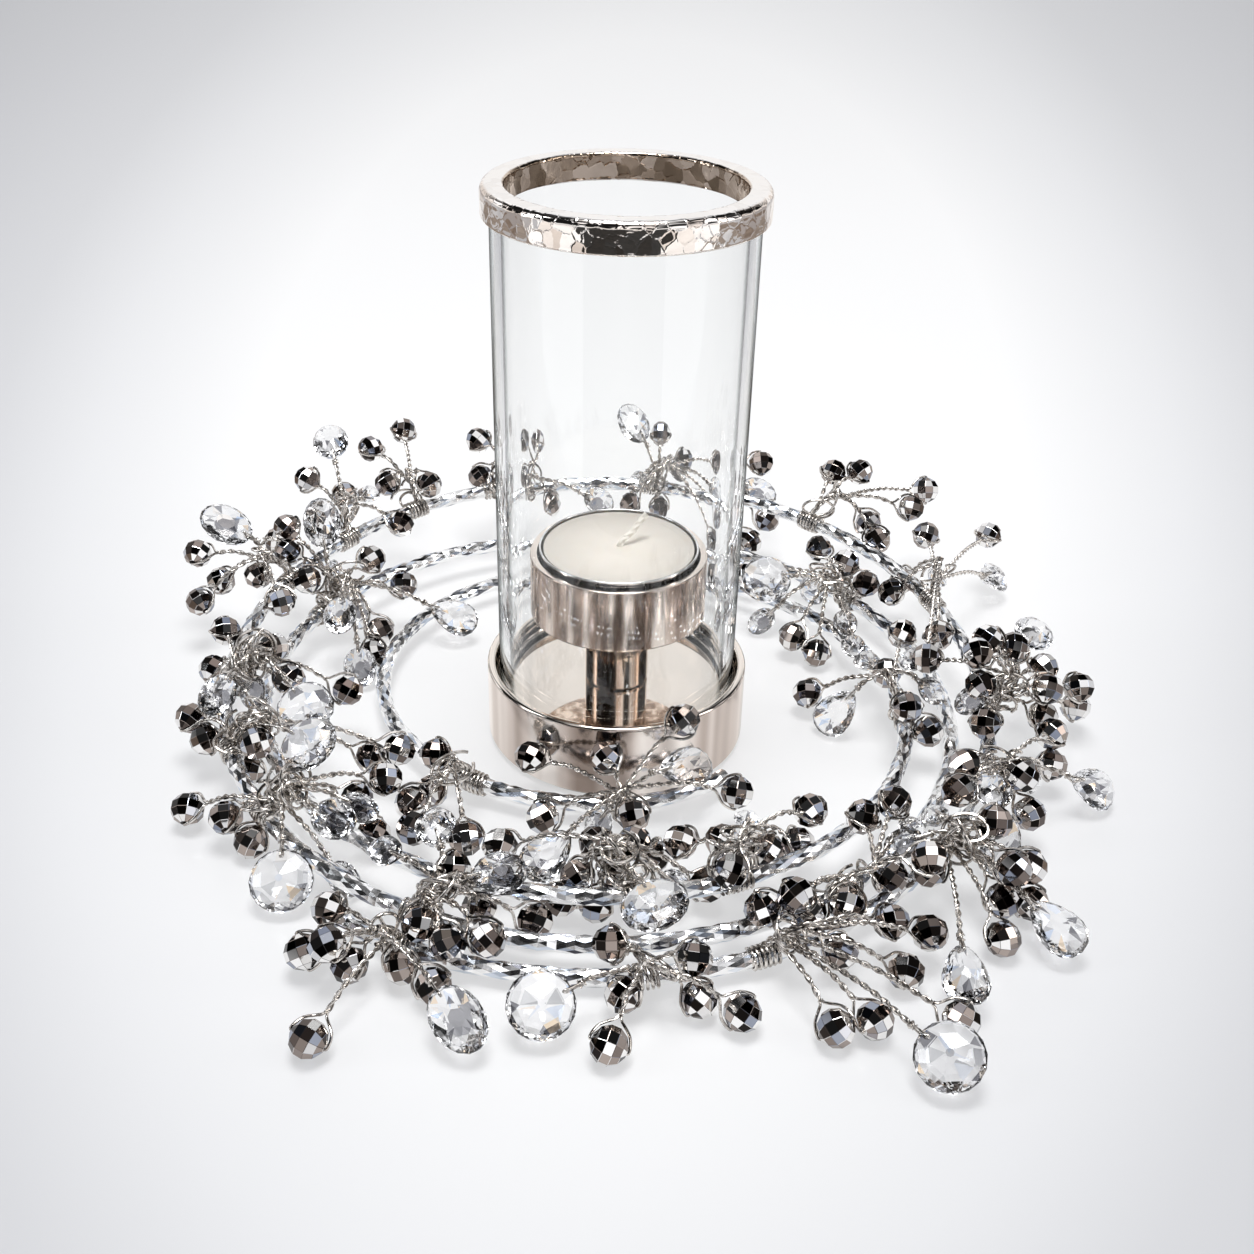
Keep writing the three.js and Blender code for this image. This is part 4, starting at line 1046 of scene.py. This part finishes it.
def garland(steps):
    """Points of the garland wire's middle at the given steps along it."""
    turn = np.asarray(steps, float) / STEPS_PER_LOOP
    last = len(GARLAND_GAPS) - 1
    station = np.clip(2 * turn, 0, last)
    passed = np.minimum(station.astype(int), last - 1)
    ease = (1 - np.cos(np.pi * (station - passed))) / 2
    gaps = np.array(GARLAND_GAPS)
    heights = np.array(GARLAND_HEIGHTS)
    radius = BASE_RADIUS + gaps[passed] + (gaps[passed + 1] - gaps[passed]) * ease
    height = heights[passed] + (heights[passed + 1] - heights[passed]) * ease
    angle = -np.pi / 2 - 2 * np.pi * turn
    return np.column_stack([
        GARLAND_SHIFT[0] + radius * np.cos(angle), GARLAND_SHIFT[1] + radius * np.sin(angle), height])


def garland_foil():
    """Foil wound round the garland wire like tape, each turn a little over the last, pressed in scales."""
    path = garland(np.linspace(GARLAND_FIRST_STEP, GARLAND_LAST_STEP, GARLAND_POINTS))
    along = lengths(path)
    count = int(along[-1] / FOIL_STEP)
    path = np.column_stack([np.interp(np.linspace(0, along[-1], count), along, axis) for axis in path.T])
    side, other = directions(path)
    chance = np.random.default_rng(SEED)
    ring = np.arange(count)
    turn = (np.arange(FOIL_SIDES)[None] + ring[:, None] % 2 / 2) / FOIL_SIDES
    wrap = (ring[:, None] * FOIL_STEP / FOIL_WRAP_PITCH + turn) % 1
    radius = FOIL_RADIUS + FOIL_WRAP * wrap + chance.uniform(-FOIL_CRINKLE, FOIL_CRINKLE, wrap.shape)
    across = circling(2 * math.pi * turn, side[:, None], other[:, None])
    points = (path[:, None] + radius[..., None] * across).reshape(-1, 3)
    piece("garland_foil", points, scale_faces(count, FOIL_SIDES), silver_foil(), "silver_wire", "wreath",
          ["garland_wire"], sharp=None)


def scale_faces(rings, sides):
    """Long four-cornered scales over a tube whose rings are turned by half a side against each other."""
    faces = []
    for ring in range(rings):
        for side in range(sides):
            here = ring * sides
            nearby = (side + ring % 2) % sides
            scale = [here + side, here + (side + 1) % sides]
            if ring < rings - 1:
                scale.insert(1, here + sides + nearby)
            if ring:
                scale.append(here - sides + nearby)
            if len(scale) > 2:
                faces.append(scale)
    faces.append(list(range(sides)))
    faces.append(list(range((rings - 1) * sides, rings * sides)))
    return faces


# Beads and crystals, in the places of the CAD solids

def triangles(node):
    """Corners of a CAD node's triangles."""
    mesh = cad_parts[node].data
    mesh.calc_loop_triangles()
    corners = np.array([[mesh.vertices[i].co for i in face.vertices] for face in mesh.loop_triangles])
    return corners / MM


def bead_places(node):
    """Centre and heading of every bead in a spray's solid.

    All corners of a bead lie on one ball, so each of its faces points back to the same centre. The
    faces leave out only the neck of the branch, so their sum points away from the branch.
    """
    corners = triangles(node)
    ab = corners[:, 1] - corners[:, 0]
    ac = corners[:, 2] - corners[:, 0]
    facing = np.cross(ab, ac)
    size = (facing**2).sum(axis=1, keepdims=True)
    towards = np.cross(facing, ab) * (ac**2).sum(axis=1, keepdims=True)
    towards += np.cross(ac, facing) * (ab**2).sum(axis=1, keepdims=True)
    towards /= 2 * size
    depth = BEAD_RADIUS**2 - (towards**2).sum(axis=1)
    near = depth > 0
    votes = corners[near, 0] + towards[near] - unit(facing[near]) * np.sqrt(depth[near])[:, None]
    facing = facing[near]
    places = []
    while len(votes):
        close = np.linalg.norm(votes[:, None] - votes[None], axis=2) < VOTE_SPREAD
        best = close[close.sum(axis=1).argmax()]
        if best.sum() < BEAD_VOTES:
            break
        places.append((votes[best].mean(axis=0), unit(facing[best].sum(axis=0))))
        votes = votes[~best]
        facing = facing[~best]
    return places


def bead_solid():
    """A faceted ball with flat ends round its hole, which runs along Z."""
    normals = [(0, 0, 1), (0, 0, -1)]
    for latitude in BEAD_ROWS:
        tilt = math.radians(latitude)
        for i in range(BEAD_FACETS_ROUND):
            angle = 2 * math.pi * i / BEAD_FACETS_ROUND
            x = math.cos(tilt) * math.cos(angle)
            y = math.cos(tilt) * math.sin(angle)
            normals.append((x, y, math.sin(tilt)))
    normals = np.array(normals)
    around, faces = solid(normals)
    order = [np.abs(normals - point).sum(axis=1).argmin() for point in around]
    planes = normals[order]
    corners = []
    for face in faces:
        depths = np.full(len(face), BEAD_FACET_DEPTH * BEAD_RADIUS)
        corner, *_ = np.linalg.lstsq(planes[face], depths, rcond=None)
        corners.append(corner)
    return solid(corners, edge=BEAD_BEVEL)


BEAD_POINTS, BEAD_FACES = bead_solid()


def crystal_place(node, home):
    """Centre, the two main directions and the size of a crystal's solid; home is the spray it hangs on."""
    corners = triangles(node)
    points = np.unique(corners.reshape(-1, 3).round(3), axis=0)
    centre = points.mean(axis=0)
    normals = np.cross(corners[:, 1] - corners[:, 0], corners[:, 2] - corners[:, 0])
    alike = unit(normals) @ unit(normals).T > SAME_FACET
    widest = (alike @ np.linalg.norm(normals, axis=1)).argmax()
    facing = unit((alike[..., None] * normals[None]).sum(axis=1)[widest])
    facing = facing * np.sign(facing @ CRYSTAL_FACING)
    flat = points - centre
    flat = flat - (flat @ facing)[:, None] * facing
    reach = np.linalg.norm(flat, axis=1)
    ends = unit(flat[reach > FAR_END * reach.max()])
    lengthwise = ends[(ends @ (home - centre)).argmax()]
    sideways = np.abs(flat @ np.cross(lengthwise, facing))
    upper = sideways[flat @ lengthwise > OFF_MIDDLE].max()
    lower = sideways[flat @ lengthwise < -OFF_MIDDLE].max()
    return {
        "centre": centre, "lengthwise": lengthwise, "facing": facing, "length": 2 * reach.max(),
        "width": 2 * sideways.max(), "depth": CRYSTAL_DEPTH,
        "taper": DROP_TAPER if upper < DROP_WITHIN * lower else 0.0,
    }


def stone_place(centre, heading, size):
    """The same for a small stone that hangs at a branch's end, its flat face turned up and to the front."""
    length, width, depth = size
    facing = unit(CRYSTAL_FACING - heading * (CRYSTAL_FACING @ heading))
    return {
        "centre": centre, "lengthwise": -heading, "facing": facing, "length": length,
        "width": width, "depth": depth, "taper": 0.0,
    }


def cut_stone(length, width, depth, taper):
    """Points of a stone cut alike on both faces; +Y is the wired end. A round one has a small table."""
    table = ROUND_TABLE_SIZE if abs(length - width) < ROUND_WITHIN else TABLE_SIZE
    rings = [
        (GIRDLE_CORNERS, 1.0, 0, CRYSTAL_GIRDLE / 2),
        *((count, scale, turn, share * depth) for count, scale, turn, share in CROWN_RINGS),
        (TABLE_CORNERS, table, 0, depth / 2),
    ]
    points = []
    for face in (1, -1):
        for count, scale, turn, height in rings:
            angle = 2 * np.pi * (np.arange(count) + turn) / count
            x = scale * width / 2 * np.sin(angle) * (1 - taper * np.cos(angle))
            y = scale * length / 2 * np.cos(angle)
            points.append(np.column_stack([x, y, np.full(count, face * height)]))
    return np.vstack(points)


def crystal_piece(name, place, nodes=()):
    points, faces = solid(cut_stone(place["length"], place["width"], place["depth"], place["taper"]))
    across = np.cross(place["lengthwise"], place["facing"])
    turn = np.column_stack([across, place["lengthwise"], place["facing"]])
    piece(name, points @ turn.T + place["centre"], faces, CRYSTAL, "crystal", "wreath", nodes, sharp=None)


# Sprays

def bead_on_wire(beads, wires, centre, heading, chance):
    """A bead threaded across its branch, with the wire closed round both sides of it. Returns the neck."""
    level = unit(np.cross(heading, CRYSTAL_FACING))
    lift = np.cross(heading, level)
    angle = chance.uniform(-BEAD_TURN, BEAD_TURN)
    hole = math.cos(angle) * level + math.sin(angle) * lift
    turn = chance.uniform(0, 2 * math.pi)
    first = math.cos(turn) * heading + math.sin(turn) * np.cross(hole, heading)
    axes_of_bead = np.column_stack([first, np.cross(hole, first), hole])
    beads.add(BEAD_POINTS @ axes_of_bead.T + centre, BEAD_FACES)
    neck = centre - heading * (BEAD_RADIUS + BEAD_NECK)
    for way in (hole, -hole):
        wire(wires, [
            centre + way * BEAD_HOLE_START,
            centre + way * BEAD_HOLE_END,
            centre + BEAD_ROUND * unit(way - BEAD_ROUND_BACK * heading),
            neck + heading * BEAD_CLOSING + way * WIRE * BEAD_CLOSING_WIDTH,
            neck + way * WIRE,
        ])
    return neck


def crystal_on_wire(wires, place):
    """The wire through a crystal's hole, over its edge on both faces. Returns the neck."""
    along = place["lengthwise"]
    edge = place["centre"] + along * place["length"] / 2
    neck = edge + along * CRYSTAL_NECK
    hole = edge - along * CRYSTAL_HOLE
    for way in (place["facing"], -place["facing"]):
        out = hole + way * (place["depth"] * CRYSTAL_HOLE_DEPTH + WIRE)
        over = edge + along * CRYSTAL_OVER + way * (CRYSTAL_GIRDLE + WIRE)
        wire(wires, [hole, out, over, neck + way * WIRE])
    knot = [neck - along * KNOT_BEFORE, neck, neck + along * KNOT_AFTER]
    rope(wires, knot, BRANCH_STRANDS, KNOT_WIRE, TWIST_PITCH / 2)
    return neck


def branch(wires, start, centre, neck, pitch=TWIST_PITCH):
    """A branch from the stalk over its arch to the neck of its bead or crystal."""
    rope(wires, [start, (start + centre) / 2 + BRANCH_ARCH * UP, neck], BRANCH_STRANDS, WIRE, pitch)


def branch_start(centre, heading, foot, head):
    """Where a branch leaves the stalk, from its heading at the tip and the height of its arch."""
    stalk = head - foot
    end = centre - 2 * BRANCH_ARCH * UP - foot
    across = np.column_stack([stalk, 2 * heading])
    (share, _), *_ = np.linalg.lstsq(across, end, rcond=None)
    return foot + np.clip(share, STALK_BARE, 1.0) * stalk


def beside(root, sweep, reach, height):
    """A place given in degrees round the wreath and in millimetres out from a root, at a height."""
    angle = math.atan2(root[1], root[0]) + math.radians(sweep)
    radius = math.hypot(root[0], root[1]) + reach
    return np.array((radius * math.cos(angle), radius * math.sin(angle), height))


def curl(wires, middle, chance):
    """A loose turn of spare wire left over from the binding."""
    axis = unit([chance.gauss(0, 1) for _ in range(3)])
    first = unit(np.cross(axis, UP))
    second = np.cross(axis, first) * chance.uniform(*CURL_FLATNESS)
    size = chance.uniform(*CURL_SIZE)
    drift = unit([chance.gauss(0, 1) for _ in range(3)]) * chance.uniform(*CURL_DRIFT)
    angle = np.linspace(0, 2 * math.pi * chance.uniform(*CURL_TURNS), CURL_POINTS)
    angle += chance.uniform(*START_ANGLES)
    share = np.linspace(0, 1, CURL_POINTS)[:, None]
    path = middle + size * circling(angle, first, second) + drift * share
    path += UP * max(0.0, CURL_LOWEST - path[:, 2].min())
    wire(wires, path, STALK_WIRE)


def binding(wires, step, chance):
    """Turns of wire that bind a spray to the garland wire."""
    middle = step + 0.5
    stride = np.linalg.norm(garland([step + 1]) - garland([step]))
    half = BINDING_LENGTH / 2 / stride
    count = BINDING_TURN_POINTS * BINDING_TURNS
    path = garland(np.linspace(middle - half, middle + half, count))
    angle = np.linspace(0, 2 * math.pi * BINDING_TURNS, count) + chance.uniform(*START_ANGLES)
    swell = chance.uniform(*BINDING_SWELL) * np.sin(np.linspace(0, math.pi, count))
    radius = FOIL_RADIUS + FOIL_WRAP + WIRE + swell
    wire(wires, path + radius[:, None] * circling(angle, *directions(path)), BINDING_WIRE)


def tips(name, places, root, foot, head):
    """Centre, heading, start of the branch and, for a stone, the size, of each small thing on a spray."""
    cut = {}
    for kind, *offset in SMALL_CRYSTALS.get(name, []):
        about = beside(root, *offset)
        nearest = min(range(len(places)), key=lambda i: np.linalg.norm(places[i][0] - about))
        cut[nearest] = STONES[kind]
    made = []
    for i, (centre, heading) in enumerate(places):
        made.append((centre, heading, branch_start(centre, heading, foot, head), cut.get(i)))
    for kind, *offset in FILLERS.get(name, []):
        centre = beside(root, *offset)
        starts = [foot + share * (head - foot) for share in FILLER_STARTS]
        start = max(starts, key=lambda point: np.linalg.norm(point - centre))
        heading = unit((centre - start) / 2 - BRANCH_ARCH * UP)
        made.append((centre, heading, start, STONES.get(kind)))
    return made


def spray(name, step, chance):
    """One spray: its binding, stalk, branches, beads and the crystals that hang on it."""
    node = "spray_" + name
    root = garland([step, step + 1]).mean(axis=0)
    foot = root + UP * STALK_FOOT
    places = bead_places(node)
    crystals = {}
    # A spray's second and third crystal have _2 and _3 after its name
    for crystal in sorted(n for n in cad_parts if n.rstrip("_23") == "crystal_" + name):
        crystals[crystal] = crystal_place(crystal, foot + UP * STALK_RISE)
    centres = [centre for centre, _ in places] + [place["centre"] for place in crystals.values()]
    lean = np.mean(centres, axis=0) - root
    lean[2] = 0
    lean = unit(lean)
    head = foot + UP * STALK_RISE + lean * STALK_LEAN
    beads = Bundle()
    wires = Bundle()
    binding(wires, step, chance)
    stalk = [root + UP * FOIL_RADIUS, (foot + head) / 2 - lean * STALK_SAG, head]
    rope(wires, stalk, STALK_STRANDS, STALK_WIRE, STALK_PITCH)
    stones = 0
    for centre, heading, start, size in tips(name, places, root, foot, head):
        if size:
            stones += 1
            place = stone_place(centre, heading, size)
            neck = crystal_on_wire(wires, place)
            crystal_piece(f"small_crystal_{name}_{stones}", place)
        else:
            neck = bead_on_wire(beads, wires, centre, heading, chance)
        branch(wires, start, centre, neck, TWIST_PITCH * chance.uniform(*TWIST_SPREAD))
    for crystal, place in crystals.items():
        neck = crystal_on_wire(wires, place)
        start = branch_start(place["centre"], -place["lengthwise"], foot, head)
        branch(wires, start, place["centre"], neck)
        crystal_piece("cut_" + crystal, place, [crystal])
    for _ in range(CURLS.get(name, FEW_CURLS)):
        curl(wires, root + chance.uniform(*CURL_PLACES) * (head - root), chance)
    piece("beads_" + name, *beads.whole(), HEMATITE, "hematite", "wreath", [node], sharp=None)
    piece("wires_" + name, *wires.whole(), SILVER, "silver_wire", "wreath", sharp=60)


# Stage and light

def floor_look():
    """White glossy floor with a painted pool of light, which widens away from the front and falls off to a
    cool grey.
    """
    look = surface("floor", Roughness=0.24, Specular_IOR_Level=0.5)
    place = look.axes(look.place())
    spread = look.arithmetic("MULTIPLY_ADD", place["Y"], POOL_WIDENING, POOL_WIDTH)
    sideways = look.arithmetic("DIVIDE", place["X"], spread)
    ahead = look.arithmetic("SUBTRACT", place["Y"], POOL_MIDDLE)
    back = look.arithmetic("MULTIPLY", look.arithmetic("DIVIDE", ahead, spread), POOL_DEPTH)
    away = look.node("CombineXYZ", {"X": sideways, "Y": back})["Vector"]
    # Painted pool of light: the floor's colour falls off from near white to a cool grey
    colour = look.ramp(look.length(away), POOL_TONES)
    look.feed("Base Color", colour)
    seen = look.node("LightPath")
    share = look.arithmetic("MAXIMUM", seen["Is Camera Ray"], seen["Is Glossy Ray"])
    share = look.arithmetic("MAXIMUM", share, seen["Is Transmission Ray"])
    glow = look.node("Emission", {"Color": colour})["Emission"]
    look.overlay(look.arithmetic("MULTIPLY", share, FLOOR_GLOW), glow)
    return look


def card_look(name, tones, glow):
    """Matt card whose underside is not there, so that the floor does not mirror it."""
    look = surface(name, Roughness=0.9, Emission_Color=WHITE, Emission_Strength=glow)
    look.tint(look.noise(30), tones)
    look.overlay(look.node("NewGeometry")["Backfacing"], look.node("BsdfTransparent")["BSDF"])
    return look


def stage_face(name, corners, height, look):
    """A level face of the stage, with its corners and its height in metres."""
    mesh = bpy.data.meshes.new(name)
    mesh.from_pydata([(x, y, height) for x, y in corners], [], [(0, 1, 2, 3)])
    mesh.materials.append(look.owner)
    made = placed(name, mesh)
    return made


def floor():
    corners = [(x * FLOOR_SIDE, y * FLOOR_SIDE) for x, y in ((-1, -1), (1, -1), (1, 1), (-1, 1))]
    stage_face("floor", corners, FLOOR_HEIGHT, floor_look())


def card(name, kind, corners):
    """A card on the floor, out of the picture, that only polished metal mirrors."""
    made = stage_face(name, corners, CARD_HEIGHT, card_look(name, *kind))
    made.visible_camera = False
    made.visible_diffuse = False
    made.visible_shadow = False
    made.visible_transmission = False


def softbox(name, place, size, watts, colour):
    lamp = bpy.data.lights.new(name, "AREA")
    lamp.shape = "RECTANGLE"
    lamp.size, lamp.size_y = size
    lamp.energy = watts
    lamp.color = colour
    made = placed(name, lamp)
    made.location = place
    made.rotation_euler = (Vector(LAMP_TARGET) - Vector(place)).to_track_quat("-Z", "Y").to_euler()


def studio():
    """A soft box overhead, narrow ones at the sides, white behind and low down, dark strips to the front."""
    for name, lamp in LAMPS.items():
        softbox(name, *lamp)
    world = bpy.data.worlds.new("studio")
    bpy.context.scene.world = world
    look = Look(world, "Background")
    way = look.axes(look.place("Generated"))
    low, high, front = (look.between(way[axis], bare, full) for axis, bare, full in DARK_BAND)
    inside = look.arithmetic("MULTIPLY", look.arithmetic("MULTIPLY", low, high), front)
    strips = look.noise(STRIPS, STRIP_STRETCH, detail=1.0, kind="Generated")
    tones = look.ramp(strips, [(place, (grey, grey, grey * STRIP_BLUE)) for place, grey in STRIP_TONES])
    look.feed("Color", look.blended(inside, SKY, tones))
    bpy.context.scene.view_settings.view_transform = "Standard"


def camera():
    lens = bpy.data.cameras.new("camera")
    lens.sensor_width = SENSOR_WIDTH
    lens.lens = SENSOR_WIDTH * FOCAL_PIXELS / PHOTO_SIDE
    lens.clip_start = CAMERA_NEAR * MM
    level = math.cos(CAMERA_PITCH)
    ahead = Vector((math.sin(CAMERA_YAW) * level, math.cos(CAMERA_YAW) * level, -math.sin(CAMERA_PITCH)))
    right = ahead.cross(Vector(UP)).normalized()
    up = right.cross(ahead)
    roll = (math.cos(CAMERA_ROLL), math.sin(CAMERA_ROLL))
    right, up = roll[0] * right + roll[1] * up, roll[0] * up - roll[1] * right
    turn = Matrix((right, up, -ahead)).transposed().to_4x4()
    made = placed("camera", lens)
    made.matrix_world = Matrix.Translation(Vector(CAMERA_PLACE) * MM) @ turn
    bpy.context.scene.camera = made


camera()
studio()
floor()
for card_name, (card_kind, card_corners) in CARDS.items():
    card(card_name, card_kind, card_corners)
base_dish()
stem()
cup()
felt_pad()
tealight_can()
wax()
wick()
glass_tube()
rim_ring()
garland_foil()
for number, (spray_name, spray_step) in enumerate(SPRAY_STEPS.items()):
    spray(spray_name, spray_step, random.Random(SEED + number))

# Screws and wick tab, which stay as the CAD has them
zinc = zinc_plate()
for hidden_node in ("base_screw", "cup_screw", "wick_tab"):
    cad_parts[hidden_node].data.materials.clear()
    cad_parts[hidden_node].data.materials.append(zinc.owner)
